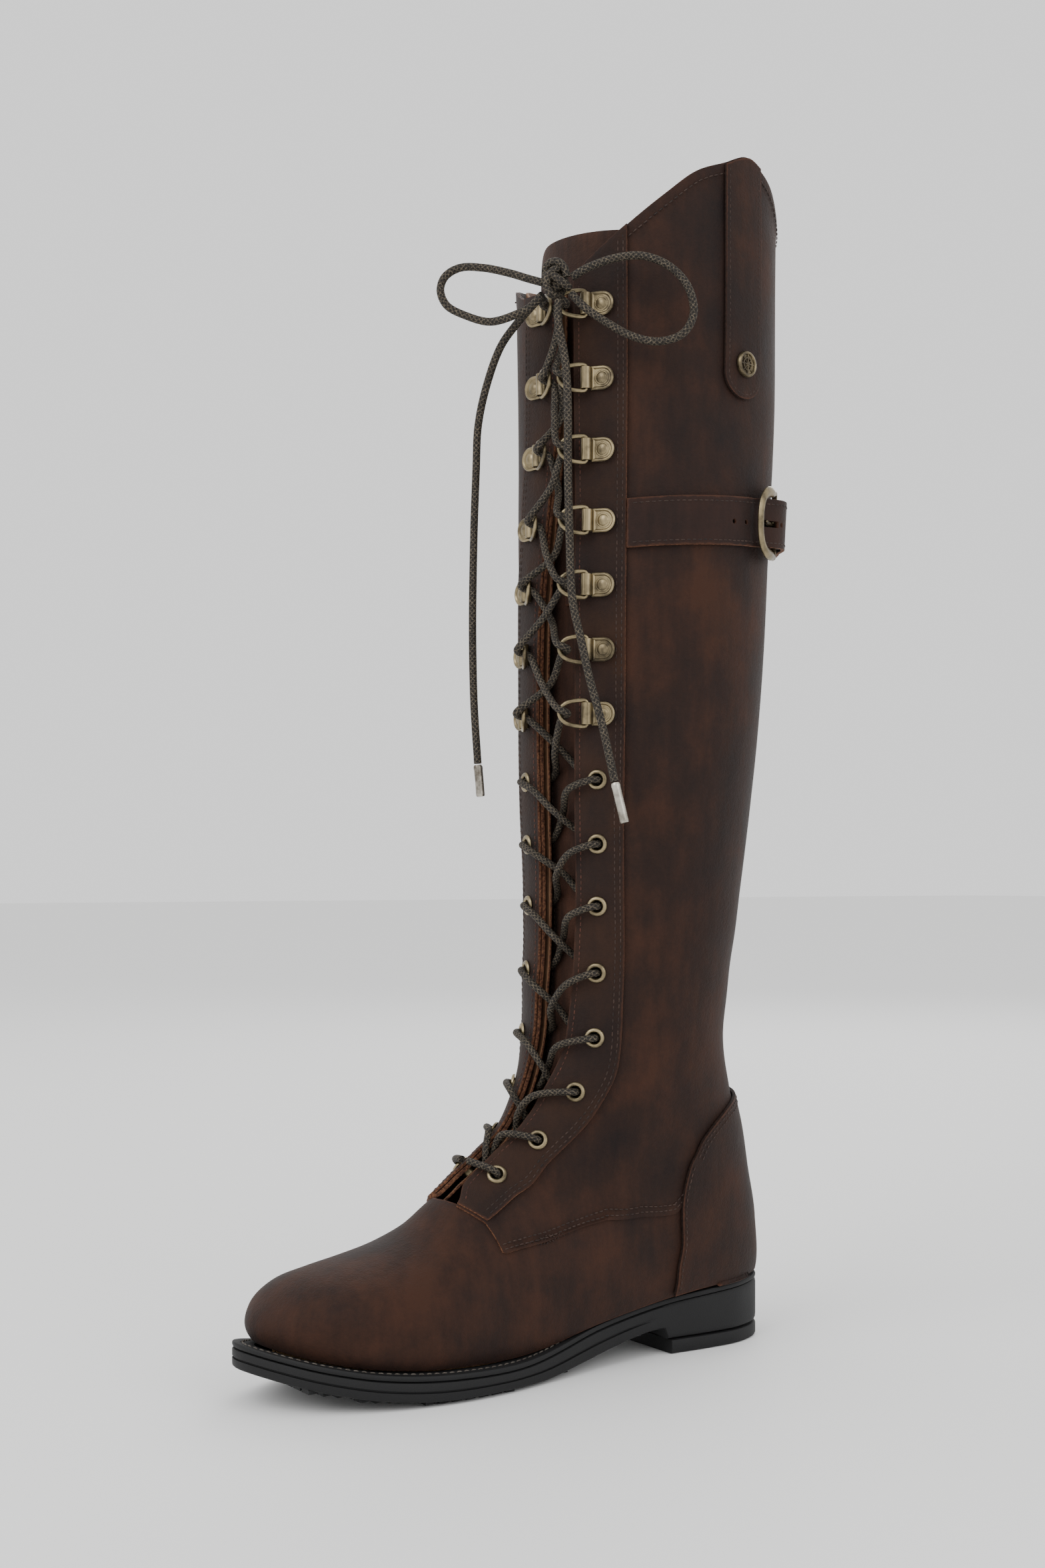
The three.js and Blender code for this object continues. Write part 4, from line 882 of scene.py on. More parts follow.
def stitchMesh(length, radius, sides=6):
    loops = []
    turns = np.arange(sides) * 2 * math.pi / sides
    for place, fat, dip in (
        (-0.5, 0.35, -0.9), (-0.36, 0.85, -0.25), (0, 1, 0), (0.36, 0.85, -0.25), (0.5, 0.35, -0.9),
    ):
        loops.append(np.column_stack([
            np.full(sides, place * length), fat * radius * np.cos(turns), fat * radius * np.sin(turns) + dip * radius,
        ]))
    return stack(loops)


def stitches(name, path, normals, pitch, material, length=0.76, radius=0.3, slant=0.0, slotName="brown_nubuck"):
    steps = np.linalg.norm(np.diff(path, axis=0), axis=1)
    travelled = np.concatenate([[0], np.cumsum(steps)])
    count = max(2, int(travelled[-1] / pitch))
    marks = (np.arange(count) + 0.5) * travelled[-1] / count
    centre = np.column_stack([np.interp(marks, travelled, path[:, k]) for k in range(3)])
    ahead = np.column_stack([np.interp(marks + 0.4, travelled, path[:, k]) for k in range(3)])
    behind = np.column_stack([np.interp(marks - 0.4, travelled, path[:, k]) for k in range(3)])
    normal = unit(np.column_stack([np.interp(marks, travelled, normals[:, k]) for k in range(3)]))
    travel = unit(ahead - behind)
    aside = unit(np.cross(normal, travel))
    if slant:
        travel = unit(travel + aside * slant)
        aside = np.cross(normal, travel)
    shape, shapeFaces = stitchMesh(pitch * length, radius)
    wobble = chance.normal(0, 0.04, (count, 1))
    points = (
        centre[:, None] + shape[None, :, [0]] * travel[:, None] + (shape[None, :, [1]] + wobble[:, :, None])
        * aside[:, None] + shape[None, :, [2]] * normal[:, None]
    )
    faces = [tuple(i + k * len(shape) for i in face) for k in range(count) for face in shapeFaces]
    piece = meshPiece(name, points.reshape(-1, 3), faces, material, 60)
    return settle(piece, "boot")


def seamRow(name, u, angle, offset, distance=0.0, pitch=2.9, material=None, **looks):
    u, angle = np.asarray(u, float), np.asarray(angle, float)
    if distance:
        u, angle = beside(u, angle, distance)
    return stitches(name, skin(u, angle, offset), lastNormal(u, angle), pitch, material or brownThread, **looks)


sides = {"lateral": 1, "medial": -1}


def eyeletHoles(side, radius, offset):
    return [(skin(u, across(u, side * distance), offset), radius) for u, distance in eyelets]


def topFold(depth, height):
    def lift(s, t, u, angle):
        below = (u - topRing(angle)) * 55
        return height * np.exp(-(below / depth) ** 4)

    return lift


def quarterLift(s, t, u, angle):
    fold = topFold(4.5, 0.45)(s, t, u, angle)
    seam = np.clip(1 - (vampSeam(np.abs(angle)) - u) / 0.55, 0, 1)
    return fold + 0.95 * seam * seam * (3 - 2 * seam)


for word, side in sides.items():
    quarter = sheetPiece(
        f"quarter_panel_{word}", quarterPlace(side, 0, 16, 0.006), 120, 250, 0, 1.8, [nubuck, cutEdge],
        eyeletHoles(side, 3.1, 0), lift=quarterLift, foldedTop=True,
    )
    settle(quarter, "boot", [f"quarter_{word}"])
    facing = sheetPiece(
        f"facing_panel_{word}", quarterPlace(side, 0, 3), 34, 330, 1.75, 1.4, [facingHide, cutEdge],
        eyeletHoles(side, 3.3, 1.6), lift=topFold(4.5, 0.35), foldedTop=True,
    )
    settle(facing, "boot", [f"facing_{word}"])
    inside = sheetPiece(
        f"lining_panel_{word}", quarterPlace(side, 0, 16), 70, 120, liningOuter, 1.1, [liningHide, cutEdge],
        eyeletHoles(side, 3.6, liningOuter), foldedTop=True,
    )
    settle(inside, "boot", [f"lining_{word}"])

    line = np.linspace(0.004, 0.985, 500)
    uRear, angleRear = quarterSpot(side, 3.0, line)
    uFront, angleFront = quarterSpot(side, 0.0, line)
    for row, gapMm in enumerate((1.7, 4.0)):
        seamRow(
            f"facing_rear_stitches_{word}_{row + 1}", uRear, angleRear, 1.79, -side * gapMm,
            slotName="facing_leather",
        )
    seamRow(
        f"facing_front_stitches_{word}", uFront, angleFront, 1.78, side * 2.6, 2.6, redThread, radius=0.28,
        slotName="facing_leather",
    )
    seamAngles = np.concatenate([np.linspace(60, 66, 12), np.linspace(66.4, 71, 18), np.linspace(71.4, 101, 80)])
    for row, gapMm in enumerate((1.6, 3.9)):
        seamRow(
            f"vamp_seam_stitches_{word}_{row + 1}", vampSeam(seamAngles), side * seamAngles, 1.0, side * gapMm, 2.5,
        )
print("quarters ready")

vamp = sheetPiece("vamp_panel", lambda s, t: vampPlace(s, t, 0.02), 210, 90, 0, 1.8, [nubuck, darkEdge])
settle(vamp, "boot", ["vamp"])
inside = sheetPiece("vamp_lining_panel", vampPlace, 90, 40, liningOuter, 1.1, [liningHide])
settle(inside, "boot", ["vamp_lining"])
inside = sheetPiece("heel_lining_panel", heelInside, 60, 40, liningOuter, 1.1, [liningHide])
settle(inside, "boot", ["heel_lining"])
counter = sheetPiece("counter_panel", counterPlace, 150, 70, 2.25, 1.5, [nubuck, darkEdge], rounding=0.45)
settle(counter, "boot", ["heel_counter"])
stayTop = float(topRing(180)) + 0.01
stay = sheetPiece("back_stay_strip", strip(180, 5, stayTop, 10.93), 12, 170, 2.25, 1.3, [nubuck, darkEdge])
settle(stay, "boot", ["back_stay"])
line = np.linspace(0.01, 0.99, 300)
for word, side in sides.items():
    u, angle = strip(180, 5, stayTop, 10.93)(np.full(300, 0.5 + 0.34 * side), line)
    seamRow(f"back_stay_stitches_{word}", u, angle, 2.35)
    edge = np.linspace(0.02, 0.97, 160)
    u, angle = counterPlace(np.full(160, 0.5 + 0.5 * side), edge)
    seamRow(f"counter_front_stitches_{word}", u, angle, 2.4, side * 1.9)
    along = 0.5 + side * np.linspace(0.49, 0.03, 160)
    u, angle = counterPlace(along, np.zeros(160))
    for row, gapMm in enumerate((1.8, 4.1)):
        seamRow(f"counter_top_stitches_{word}_{row + 1}", u, angle, 2.4, -side * gapMm, 2.6)
    round_ = side * np.linspace(26, 174, 400)
    seamRow(f"top_line_stitches_{word}", topRing(round_) + 0.003, round_, 0.62, -side * 4.2)
print("vamp and counter ready")

tongue = sheetPiece(
    "tongue_panel", tonguePlace, 44, 260, tongueOuter, 1.6, [tongueHide, darkEdge],
    lift=lambda s, t, u, angle: 1.2 * np.cos((2 * s - 1) * 1.5) - 0.6 + 0.5 * np.sin(t * 23 + s * 2) * np.exp(-t * 3),
)
settle(tongue, "boot", ["tongue"])
for row, place in enumerate((0.07, 0.93)):
    u, angle = tonguePlace(np.full(400, place), np.linspace(0.012, 0.98, 400))
    seamRow(f"tongue_edge_stitches_{row + 1}", u, angle, tongueOuter + 0.1, slotName="tongue_leather")
u, angle = tonguePlace(np.linspace(0.08, 0.92, 60), np.full(60, 0.009))
seamRow("tongue_top_stitches", u, angle, tongueOuter + 0.5, slotName="tongue_leather")
loopTop, loopBottom = float(ringAtHeight(356.0)), float(ringAtHeight(339.0))
loop = sheetPiece(
    "tongue_loop_strip", strip(float(across(loopTop, -1)), 3.6, loopTop, loopBottom), 12, 30, tongueOuter + 1.6, 1.2,
    [tongueHide, cutEdge],
)
settle(loop, "boot", ["tongue_loop"])
print("tongue ready")

strap = sheetPiece(
    "calf_strap_band", strapPlace(48.9, 161, lambda t: 20 * np.minimum(1, 0.45 + 9 * (1 - t))), 26, 260, 2.3, 2.0,
    [strapHide, cutEdge], lift=lambda s, t, u, angle: strapLift(angle), rounding=0.5,
)
holeAngles = [buckleFront - 11, buckleFront - 3.5, buckleFront + 6, buckleBack - 5, buckleBack + 8, buckleBack + 16]
cutters = []
for hole in holeAngles:
    base = seat(float(strapMiddle(hole)), hole, 0, strapTurn)
    punch, punchFaces = lathe([(1.15, -3), (1.15, 12)], 20, False)
    cutters.append((seated(punch, base), punchFaces))
slotAngle = buckleBack - 12
slotBox = [(x, y, z) for z in (-6, 10) for x, y in ((-5.5, -1.5), (5.5, -1.5), (5.5, 1.5), (-5.5, 1.5))]
slotFaces = [(0, 3, 2, 1), (4, 5, 6, 7), (0, 1, 5, 4), (1, 2, 6, 5), (2, 3, 7, 6), (3, 0, 4, 7)]
cutters.append((seated(slotBox, seat(float(strapMiddle(slotAngle)), slotAngle, 2, strapTurn)), slotFaces))
punch = meshPiece("strap_punch", *gather(cutters), strapHide)
cut = strap.modifiers.new("holes", "BOOLEAN")
cut.operation = "DIFFERENCE"
cut.solver = "EXACT"
cut.object = punch
deselectAll()
bpy.context.view_layer.objects.active = strap
bpy.ops.object.modifier_apply(modifier="holes")
bpy.data.objects.remove(punch)
settle(strap, "boot", ["calf_strap"])
for word, side in sides.items():
    angles = np.linspace(51, 159, 300)
    u = strapMiddle(angles)
    perMm = 1 / (ringAt(u)[..., 3] - ringAt(u + 1)[..., 3])
    path = skin(u - side * 8 * perMm, angles, 2.35 + strapLift(angles))
    stitches(f"strap_stitches_{word}", path, lastNormal(u, angles), 2.7, brownThread)
chape = sheetPiece(
    "strap_chape_band", strapPlace(buckleBack + 1.2, 174.6, lambda t: 20 + 0 * t), 26, 90, 2.3, 2.0,
    [strapHide, cutEdge], rounding=0.5,
)
settle(chape, "boot", ["strap_chape"])
for word, side in sides.items():
    angles = np.linspace(buckleBack + 6, 173.5, 120)
    u = strapMiddle(angles)
    perMm = 1 / (ringAt(u)[..., 3] - ringAt(u + 1)[..., 3])
    stitches(
        f"chape_stitches_{word}", skin(u - side * 8 * perMm, angles, 2.35), lastNormal(u, angles), 2.7, brownThread,
    )

tab = sheetPiece("top_tab_strip", tabPlace, 40, 170, 2.1, 1.4, [nubuck, darkEdge], rounding=0.45)
settle(tab, "boot", ["top_tab"])
down = np.linspace(0.02, 1, 200)
uLeft, angleLeft = tabPlace(np.zeros(200), down, 1.9)
bowS = np.linspace(0, 1, 80)[1:-1]
uBow, angleBow = tabPlace(bowS, np.ones(78), 1.9)
uRight, angleRight = tabPlace(np.ones(200), down[::-1], 1.9)
seamRow(
    "top_tab_stitches", np.concatenate([uLeft, uBow, uRight]), np.concatenate([angleLeft, angleBow, angleRight]), 2.0,
    pitch=2.7,
)
print("straps ready")

# Dense tacking at the corner where the quarter meets the vamp.
for word, side in sides.items():
    for row in range(5):
        angles = side * np.linspace(61.5 + row * 0.4, 67.0 + row * 0.3, 30)
        u = np.full(30, 17.55 - row * 0.17) - np.linspace(0, 0.55, 30)
        seamRow(f"tack_{word}_{row + 1}", u, angles, 0.42, pitch=1.5, radius=0.3, slant=0.8 * (-1) ** row)


def roundedD(inset, z, start=1.9, straight=7.2, half=5.3, steps=26):
    turns = np.linspace(-math.pi / 2, math.pi / 2, steps)
    arc = [(straight + (half - inset) * math.cos(a), (half - inset) * math.sin(a), z) for a in turns]
    left = start + inset
    return np.array([(left, -(half - inset), z), *arc, (left, half - inset, z)])


def domed(radius, base, height, sides=24, steps=7):
    turns = np.arange(sides) * 2 * math.pi / sides
    loops = []
    for k in range(steps):
        a = math.pi / 2 * k / (steps - 0.75)
        r, z = radius * math.cos(a), base + height * math.sin(a)
        loops.append(np.column_stack([r * np.cos(turns), r * np.sin(turns), np.full(sides, z)]))
    return stack(loops)


def plateParts():
    levels = [(0.1, 0), (0, 0.25), (0.05, 1.0), (0.4, 1.35), (0.95, 1.35), (1.3, 1.05), (1.5, 0.8)]
    plate = stack([roundedD(inset, z) for inset, z in levels])
    rivet, rivetFaces = domed(2.75, 0.75, 1.35)
    collar, collarFaces = lathe([(3.3, 0.6), (3.3, 0.95), (3.0, 1.15), (2.5, 1.15), (2.5, 0.6)], 28)
    shift = np.array([6.9, 0, 0])
    bar = [(2.4, -4.6), (2.25, -4.8), (1.7, -4.8), (1.7, 4.8), (2.25, 4.8), (2.4, 4.6), (2.4, 0.3), (2.4, -0.3)]
    fold, foldFaces = lathe(bar, 20)
    fold = fold[:, [0, 2, 1]] + np.array([0, 0, 2.4])
    shank, shankFaces = lathe([(1.5, -5), (1.5, 1)], 10, False)
    riveted = [(rivet + shift, rivetFaces), (collar + shift, collarFaces)]
    return [plate, *riveted, (fold, foldFaces), (shank + shift, shankFaces)]


def ringParts():
    half = 6.5 - 0.9
    arc = [(-0.9, 1), (-4.8, 0.98), (-8.64, 0.8), (-11.16, 0.42)]
    outline = [(0, 0.6 - half), (0, half - 0.6)] + [(x, half * k) for x, k in arc] + [(-12, 0)]
    outline += [(x, -half * k) for x, k in reversed(arc)]
    path = smoothPath([(x, y, 0) for x, y in outline], 0.6, True)
    c, s = math.cos(math.radians(25)), math.sin(math.radians(25))
    points, faces, _ = tube(path, 0.95, 12, True)
    turned = np.column_stack([points[:, 0] * c + points[:, 2] * s, points[:, 1], points[:, 2] * c - points[:, 0] * s])
    return turned + np.array([0, 0, 2.4]), faces


eyeletProfile = [
    (2.45, -5.3), (2.45, 2.2), (2.6, 2.75), (2.95, 3.05), (3.4, 3.1), (3.9, 2.95), (4.3, 2.6), (4.45, 2.1),
    (4.3, 1.9), (3.0, 1.85), (3.0, -5.3),
]
for word, side in sides.items():
    shape, shapeFaces = lathe(eyeletProfile, 36)
    parts = [(seated(shape, eyeletSeat(u, distance, side)), shapeFaces) for u, distance in eyelets]
    row = meshPiece(f"eyelets_{word}", *gather(parts), brass, 35)
    settle(row, "boot", [f"eyelet_row_{word}"])
    parts = [(seated(shape, hookSeat(u, side)), shapeFaces) for u in hooks for shape, shapeFaces in plateParts()]
    row = meshPiece(f"ring_plates_{word}", *gather(parts), brass, 32)
    settle(row, "boot", [f"hook_plates_{word}"])
    shape, shapeFaces = ringParts()
    for k, u in enumerate(hooks):
        ring = meshPiece(f"ring_{word}_{k + 1}_wire", seated(shape, hookSeat(u, side)), shapeFaces, brass, 60)
        settle(ring, f"ring_{word}_{k + 1}", [f"lace_ring_{word}_{k + 1}"])
print("lace hardware ready")

studRing = float(ringAtHeight(ringAt(float(topRing(tabCentre)))[3] - tabLength + 14))
studSeat = seat(studRing, tabCentre, hardwareSeat, 0)
studParts = [
    lathe(
        [(0.3, 0), (5.6, 0), (5.8, 0.3), (5.8, 1.3), (5.5, 1.9), (5.0, 2.15), (4.5, 1.9), (4.25, 1.3), (0.3, 1.3)],
        48, False,
    ),
    domed(1.15, 1.2, 0.9, 20),
    lathe([(3.0, 1.2), (3.1, 1.75), (2.75, 1.9), (2.4, 1.75), (2.4, 1.2)], 36),
]
for k in range(8):
    a = k * math.pi / 4
    path = [(r * math.cos(a), r * math.sin(a), 1.45 + 0.15 * (r < 3)) for r in (0.6, 1.6, 2.7, 4.4)]
    points, faces, _ = tube(smoothPath(path, 0.6), 0.36 if k % 2 == 0 else 0.26, 8)
    studParts.append((points, faces))
stud = meshPiece("stud_wheel", seated(gather(studParts)[0], studSeat), gather(studParts)[1], brass, 35)
settle(stud, "boot", ["tab_stud"])

buckleSeat = seat(float(strapMiddle(buckleBack)), buckleBack, 3.3, strapTurn)


def bucklePath():
    half = 14.5
    arc = [(-0.3, 1, 0.8), (-0.55, 1.02, 1.1), (-0.8, 0.93, 0.4), (-0.95, 0.7, -0.4), (-1.01, 0.38, -0.9)]
    arc = [(x * buckleWidth, y * half, z) for x, y, z in arc]
    path = [(0, 1.6 - half, 0), (0, half - 1.6, 0), (-1.8, half, 0.4), *arc, (-1.03 * buckleWidth, 0, -1)]
    return path + [(x, -y, z) for x, y, z in reversed(arc)] + [(-1.8, -half, 0.4)]


path = smoothPath(bucklePath(), 0.7, True)
tangent = unit(np.roll(path, -1, 0) - np.roll(path, 1, 0))
outward = unit(np.cross(tangent, (0, 0, 1)))
outward *= np.sign((outward * (path - path.mean(0))).sum(-1, keepdims=True))
wide = np.clip((-path[:, 0] - 2) / 9, 0, 1)
wide = wide * wide * (3 - 2 * wide)
loops = []
for i in range(len(path)):
    reach = 1.3 + 1.15 * wide[i]
    section = [
        (-reach, -0.5), (-reach, 0.35), (-reach * 0.72, 1.05), (0, 1.35 + 0.35 * wide[i]),
        (reach * 0.6, 1.05), (reach, 0.2),
        (reach, -0.5), (reach * 0.6, -1.2), (0, -1.35), (-reach * 0.6, -1.2),
    ]
    shifted = [path[i] + outward[i] * (a - 0.5 * (reach - 1.3)) + np.array((0, 0, b)) for a, b in section]
    loops.append(np.array(shifted))
points, faces = stack(loops, True)
buckle = meshPiece("buckle_loop", seated(points, buckleSeat), faces, brass, 45)
deselectAll()
bpy.context.view_layer.objects.active = buckle
soft = buckle.modifiers.new("soft", "SUBSURF")
soft.levels = 1
soft.render_levels = 1
bpy.ops.object.modifier_apply(modifier="soft")
settle(buckle, "buckle", ["buckle_frame"])

sleeve, sleeveFaces = lathe([(1.7, -1.5), (2.6, -1.6), (2.8, -1.2), (2.8, 1.2), (2.6, 1.6), (1.7, 1.5)], 24)
pinPath = smoothPath([(-2.2, 0, 0.2), (-9.9, 0, 0.1), (-16.8, 0, 0.1), (-19.8, 0, 0.9), (-20.6, 0, 1.4)], 0.6)
pinRadii = np.interp(np.linspace(0, 1, len(pinPath)), [0, 0.9, 1], [1.15, 0.95, 0.45])
pin, pinFaces, _ = tube(pinPath, pinRadii, 14)
prongPoints, prongFaces = gather([(sleeve[:, [0, 2, 1]], sleeveFaces), (pin, pinFaces)])
prong = meshPiece("prong_pin", seated(prongPoints, buckleSeat), prongFaces, brass, 45)
settle(prong, "prong", ["buckle_prong"])
for k, middle in enumerate((-6.2, 6.2)):
    turnLoop = lathe([(1.75, -3.9), (3.3, -3.9), (3.5, -3.5), (3.5, 3.5), (3.3, 3.9), (1.75, 3.9)], 28)
    shape = turnLoop[0][:, [0, 2, 1]] + np.array([0, middle, 0])
    fold = meshPiece(f"chape_fold_{k + 1}", seated(shape, buckleSeat), turnLoop[1], strapHide, 40)
    settle(fold, "boot")
print("buckle ready")

laceHeld, laceRadius = 1.6, 1.75
laceOver = hardwareSeat + 0.8 + 0.3 + 1.45 + 0.35
laceInside = liningInner - 0.9 - 1.45
levels = [*eyelets, *((u, hookFold(u)) for u in hooks)]


def lacePoint(u, distance, offset):
    return skin(u, across(u, distance), offset)


def throughEyelet(u, distance, below, side):
    edge = float(halfOpening(u))
    return [
        lacePoint(below + (u - below) * 0.85, side * (edge - 1), laceOver),
        lacePoint(u, side * (distance - 1.4), laceOver), lacePoint(u, side * distance, laceOver - 1.9),
        lacePoint(u, side * distance, liningInner - 0.3), lacePoint(u - 0.02, side * (distance - 1.6), laceInside),
    ]


def throughRing(u, side):
    tilt = math.radians(25)
    tip = (-12 * math.cos(tilt), 2.4 + 12 * math.sin(tilt))
    around = [(0.4, -1.8, -2.8), (2.9, -0.7, -2), (4, 0, 0.1), (2.9, 0.7, 2.2), (0.4, 1.8, 2.9)]
    return list(seated([(tip[0] + x, side * y, tip[1] + z) for x, y, z in around], hookSeat(u, side)))


def laceRun(side, crossing):
    points = [lacePoint(levels[0][0], side * 1.8, laceOver)]
    for k, (u, distance) in enumerate(levels):
        atRing = k >= len(eyelets)
        below = levels[k - 1][0] if k > 0 else u
        points += throughRing(u, side) if atRing else throughEyelet(u, distance, below, side)
        if k == len(levels) - 1:
            return points
        ahead = levels[k + 1][0]
        if not atRing:
            points.append(lacePoint(u + (ahead - u) * 0.15, side * (float(halfOpening(u)) - 0.6), laceInside))
        points.append(lacePoint(u + (ahead - u) * 0.5, 0, crossing + (8.5 if atRing else 0)))
        side = -side


for word, side, crossing in (("first", 1, 0.8), ("second", -1, -4.4)):
    path = smoothPath(laceRun(side, crossing), 1.0)
    piece = laceTube(f"laced_run_{word}", path, laceHeld)
    settle(piece, "boot", [f"lace_run_{word}"])

knotCentre = np.array([39.4, -96.8, 474.6])
free = dict(
    lace_loop_medial=[
        (33.4, -99.8, 475.6), (27.2, -104, 478.2), (20.4, -109.2, 481.3), (10.8, -116.9, 484.6), (3, -124.1, 485.2),
        (-1.7, -128.8, 481.7), (-3, -130.5, 475.8), (-0.5, -128.8, 468.8), (5.6, -122.3, 463.8), (13.4, -115.1, 460.7),
        (25.1, -109.2, 462.1), (30.2, -105, 464.9), (34.8, -102, 469.4),
    ],
    lace_loop_lateral=[
        (44, -92.4, 476.8), (48.5, -88, 480.2), (55.3, -78.4, 484.6), (65.4, -69.7, 484.9), (73.8, -61.6, 479.7),
        (79.2, -56, 470.8), (80.7, -54, 459.4), (78, -57.6, 450.8), (71.3, -65.1, 447.6), (62.9, -73.2, 450.2),
        (54.4, -81.3, 456.9), (48.4, -88.7, 463.6), (44, -92.6, 469.8),
    ],
    lace_end_medial=[
        (32.2, -99.8, 470.8), (26, -101.5, 466.8), (17, -103.5, 461), (9.2, -107, 452), (2, -110, 435.6),
        (-3.6, -111, 418.7), (-6.2, -110.5, 399.5), (-9, -110, 371.8), (-10.2, -110, 329.8), (-9.9, -109.5, 297.2),
        (-8, -108.6, 268.6),
    ],
    lace_end_lateral=[
        (41.2, -97.4, 466.8), (42.2, -98, 456.4), (42.4, -95, 442.9), (44, -94.5, 427.4), (44.4, -94.5, 393.4),
        (44.8, -94, 366.3), (45.6, -93, 337.5), (48.5, -90.5, 320), (51.5, -88, 303), (55.5, -84.5, 284),
        (60.3, -81, 258.8),
    ],
)
agletEnds = dict(
    medial=[(-7.9, -108.6, 267.9), (-7.1, -108.3, 260.8), (-6.4, -108.1, 253.8)],
    lateral=[(60.5, -80.9, 258.1), (62.3, -79.6, 249.5), (64.1, -78.4, 241)],
)
agletPieces = {}
for word, route in agletEnds.items():
    path = smoothPath(route, 0.8)
    radii = np.full(len(path), 1.95)
    radii[[0, -1]] = 1.7
    radii[[1, 2]] = 2.05
    points, faces, _ = tube(path, radii, 16)
    agletPieces[word] = meshPiece(f"aglet_tip_{word}", points, faces, steel, 50)
    settle(agletPieces[word], "boot", [f"aglet_{word}"])
for name, route in free.items():
    path = smoothPath(route, 1.0)
    piece = laceTube(name + "_cord", path, laceRadius)
    settle(piece, "boot", [name])
    word = name.split("_")[-1]
    path[0] * mm
    path[::3 if len(path) % 3 == 1 else 1] * mm

wraps = [
    [
        (-5.2, 0.4, 1.6), (-3.4, -3, 3.2), (0.4, -4.2, 2), (3.8, -3.2, -0.6), (5, 0.2, -2), (3, 2.8, -1), (-1, 3.2, 1),
        (-4.4, 2.2, 1.8),
    ],
    [
        (-1.4, -3.4, -5.2), (-3, -4.2, -1.5), (-1.6, -4.6, 2.2), (0.6, -3.2, 5), (2.2, 0.4, 5.8), (1.6, 3.2, 3),
        (0.6, 3.4, -2), (0, 0.6, -5.4),
    ],
    [(-4.4, -1.2, 2), (-4.4, -2.4, 5.6), (-2, -2.8, 8.2), (1.8, -2.4, 8.2), (4.2, -1.4, 5.6), (4.8, -0.6, 2)],
    [(-3.2, 0, -2.6), (-1.2, 0.2, -0.8), (1.2, 0.2, 1), (3.2, 0, 2.4)],
]
fat = [1.8, 1.8, 1.75, 3.1]
turned = math.radians(30)
base = np.array([
    [math.cos(turned), -math.sin(turned), 0], [math.sin(turned), math.cos(turned), 0], [0, 0, 1],
])
parts, allUvs = [], []
for k, wrap in enumerate(wraps):
    points, faces, uvs = tube(smoothPath(np.array(wrap) @ base.T + knotCentre, 0.7, k < 2), fat[k], 12, k < 2)
    parts.append((points, faces))
    allUvs.append(uvs)
points, faces = gather(parts)
knot = meshPiece("bow_knot", points, faces, cord, 60, np.vstack(allUvs))
wrappedUvs(knot)
settle(knot, "boot", ["lace_knot"])
print("lace ready")

lateralEdge = [
    (0, 34), (19.5, 28.5), (29.5, 12), (31, -8), (30, -30), (33, -64), (40, -97), (46, -125), (47, -152), (41, -182),
    (27, -209), (5, -225.4), (-6, -226.2),
]
medialEdge = [
    (0, 34), (-19.5, 28.5), (-29.5, 12), (-31, -8), (-28, -35), (-29, -68), (-37, -104), (-43, -137), (-43, -165),
    (-36, -197), (-19, -219.6), (-6, -226.2),
]
outline = smoothPath([(x, y, 0) for x, y in lateralEdge + medialEdge[-2:0:-1]], 2.0, True)[:, :2]
steps = np.linalg.norm(np.roll(outline, -1, 0) - outline, axis=1)
travelled = np.concatenate([[0], np.cumsum(steps)])
marks = np.linspace(0, travelled[-1], 321)[:-1]
closedOutline = np.vstack([outline, outline[:1]])
outline = np.column_stack([np.interp(marks, travelled, closedOutline[:, k]) for k in range(2)])
for _ in range(3):
    outline = (np.roll(outline, 1, 0) + 2 * outline + np.roll(outline, -1, 0)) / 4
edgeTravel = unit(np.roll(outline, -1, 0) - np.roll(outline, 1, 0))
edgeOut = np.column_stack([edgeTravel[:, 1], -edgeTravel[:, 0]])
if (edgeOut * (outline - outline.mean(0))).sum() < 0:
    edgeOut = -edgeOut


def soleLoop(inset, height, outlineNow=outline, out=edgeOut):
    flat = outlineNow - out * inset
    return np.column_stack([flat, height(flat[:, 1])])


def soleBottom(y):
    return np.maximum(0, soleSpring(y))


def unitTop(y):
    return soleTop(y) - 2.8


def groovedLevels(bottom, top, groove, depth=0.9):
    rows = []
    for share, inset in (
        (0, 1.6), (0.02, 0.7), (0.07, 0.15), (0.14, 0), (groove - 0.06, 0), (groove - 0.035, depth),
        (groove + 0.035, depth), (groove + 0.06, 0), (0.9, 0), (0.96, 0.2), (1, 0.8),
    ):
        loop = soleLoop(inset, lambda y, share=share: bottom(y) + (top(y) - bottom(y)) * share)
        if inset == depth:
            plain = soleLoop(0, lambda y, share=share: bottom(y) + (top(y) - bottom(y)) * share)
            fade = np.clip((plain[:, 1:2] + 52) / 16, 0, 1)
            loop = loop * (1 - fade) + plain * fade
        rows.append(loop)
    return rows


def foreBottom(y):
    under = np.clip((y + 34) / 6, 0, 1)
    return np.where(y > -60, np.minimum(soleBottom(y), 11), soleBottom(y)) + 1.2 - 1.2 * under


sole = stack(groovedLevels(lambda y: np.where(y > -30.5, 7.0, foreBottom(y)), unitTop, 0.52))
soleUnit = meshPiece("sole_unit", *sole, blackRubber, 35)
settle(soleUnit, "boot", ["outsole_unit"])


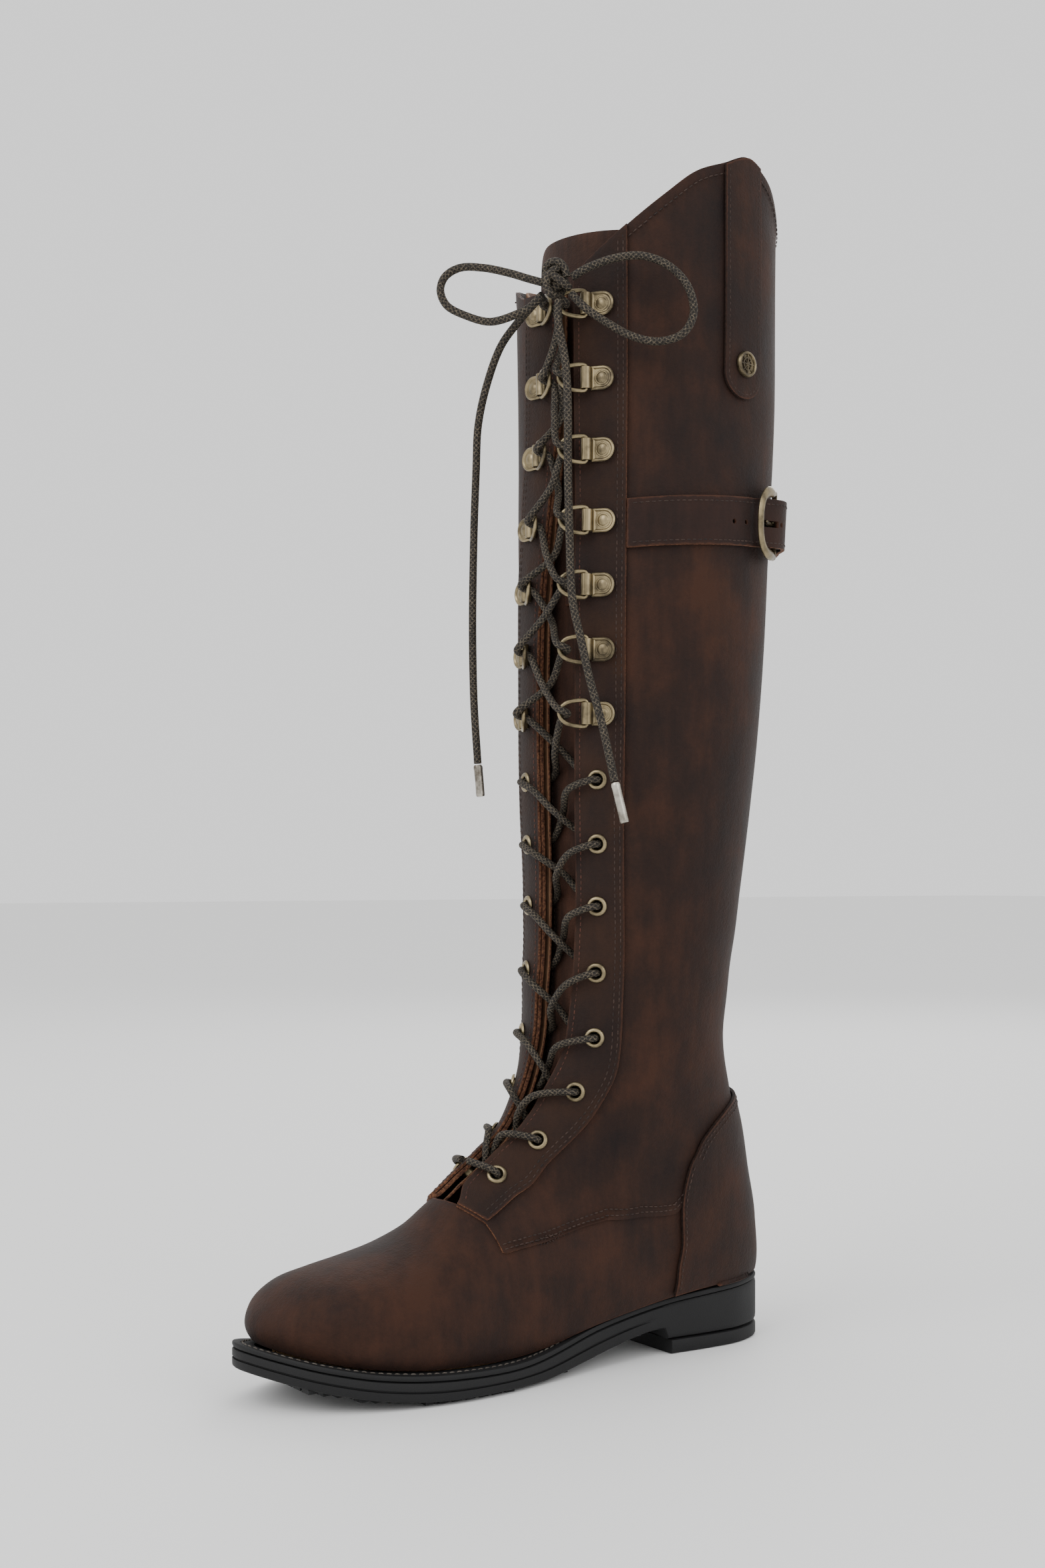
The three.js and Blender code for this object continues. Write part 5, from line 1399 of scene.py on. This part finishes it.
def heelLoop(inset, z):
    back = outline[outline[:, 1] > -30]
    start = np.argmax(np.linalg.norm(np.roll(back, 1, 0) - back, axis=1))
    back = np.roll(back, -start, 0)
    travel = unit(np.gradient(back, axis=0))
    out = np.column_stack([travel[:, 1], -travel[:, 0]])
    if (out * (back - back.mean(0))).sum() < 0:
        out = -out
    flat = back - out * inset
    flat[:, 1] = np.maximum(flat[:, 1], -30 + inset * 0.6)
    front = np.linspace(flat[-1], flat[0], 14)[1:-1]
    flat = np.vstack([flat, front])
    return np.column_stack([flat, np.full(len(flat), z) if np.isscalar(z) else z(flat[:, 1])])


topPiece = stack([heelLoop(i, z) for i, z in ((1.4, 0.0), (0.4, 0.25), (0, 1.0), (0, 5.3), (0.3, 6.0), (1.0, 6.3))])
heelTop = meshPiece("heel_top_lift", *topPiece, blackRubber, 35)
settle(heelTop, "boot", ["heel_top_piece"])

weltLevels = [
    (9, -2.5), (0.9, -2.5), (0.25, -2.2), (0, -1.6), (0, -0.8), (0.35, -0.2), (1.0, 0), (3.4, 0), (3.7, -0.35),
    (4.6, -0.35), (4.9, 0), (9, 0),
]
loops = [soleLoop(inset, lambda y, dz=dz: soleTop(y) + dz) for inset, dz in weltLevels]
welt = meshPiece("welt_strip", *stack(loops, True), blackRubber, 35)
settle(welt, "boot", ["welt"])
path = soleLoop(4.15, lambda y: soleTop(y) + 0.05)
stitches("welt_stitches", np.vstack([path, path[:1]]), np.tile((0.0, 0, 1), (len(path) + 1, 1)), 3.4, paleThread,
         length=0.7, radius=0.4, slotName="black_rubber")

bars = []
barShape = [(x, y, z) for z in (0, 1) for x, y in ((-1, -1), (1, -1), (1, 1), (-1, 1))]
for y in np.arange(-206, -44, 6.4):
    for x in np.arange(-40, 41, 8.0):
        edge = outline[np.abs(outline[:, 1] - y) < 4][:, 0]
        if edge.min() + 6 < x < edge.max() - 6:
            low = float(soleBottom(y))
            bars.append(([(x + 3.1 * a, y + 2.2 * b, low + 1.8 * c) for a, b, c in barShape], slotFaces))
for y in np.arange(-24, 28, 6.4):
    for x in np.arange(-24, 25, 8.0):
        if math.hypot(x, max(y, 0)) < 27:
            bars.append(([(x + 3.1 * a, y + 2.2 * b, 0.6 * c) for a, b, c in barShape], slotFaces))
tread = meshPiece("tread_blocks", *gather(bars), blackRubber, 30)
settle(tread, "boot")
print("sole ready")


footbedLevels = [(16.5, 2.3), (15.5, 3.2), (15.5, 4.3), (16.6, 5.0)]
footbed = stack([soleLoop(inset, lambda y, rise=rise: soleTop(y) + rise) for inset, rise in footbedLevels])
bed = meshPiece("footbed_sheet", *footbed, insoleCloth, 50)
settle(bed, "boot", ["footbed"])
hidden = dict(
    cork_filler=board, shank=shankSteel, insole_board=board, toe_puff=board, heel_stiffener=board,
)
for name, material in hidden.items():
    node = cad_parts[name]
    node.data.materials.clear()
    node.data.materials.append(material)
print("inside ready")
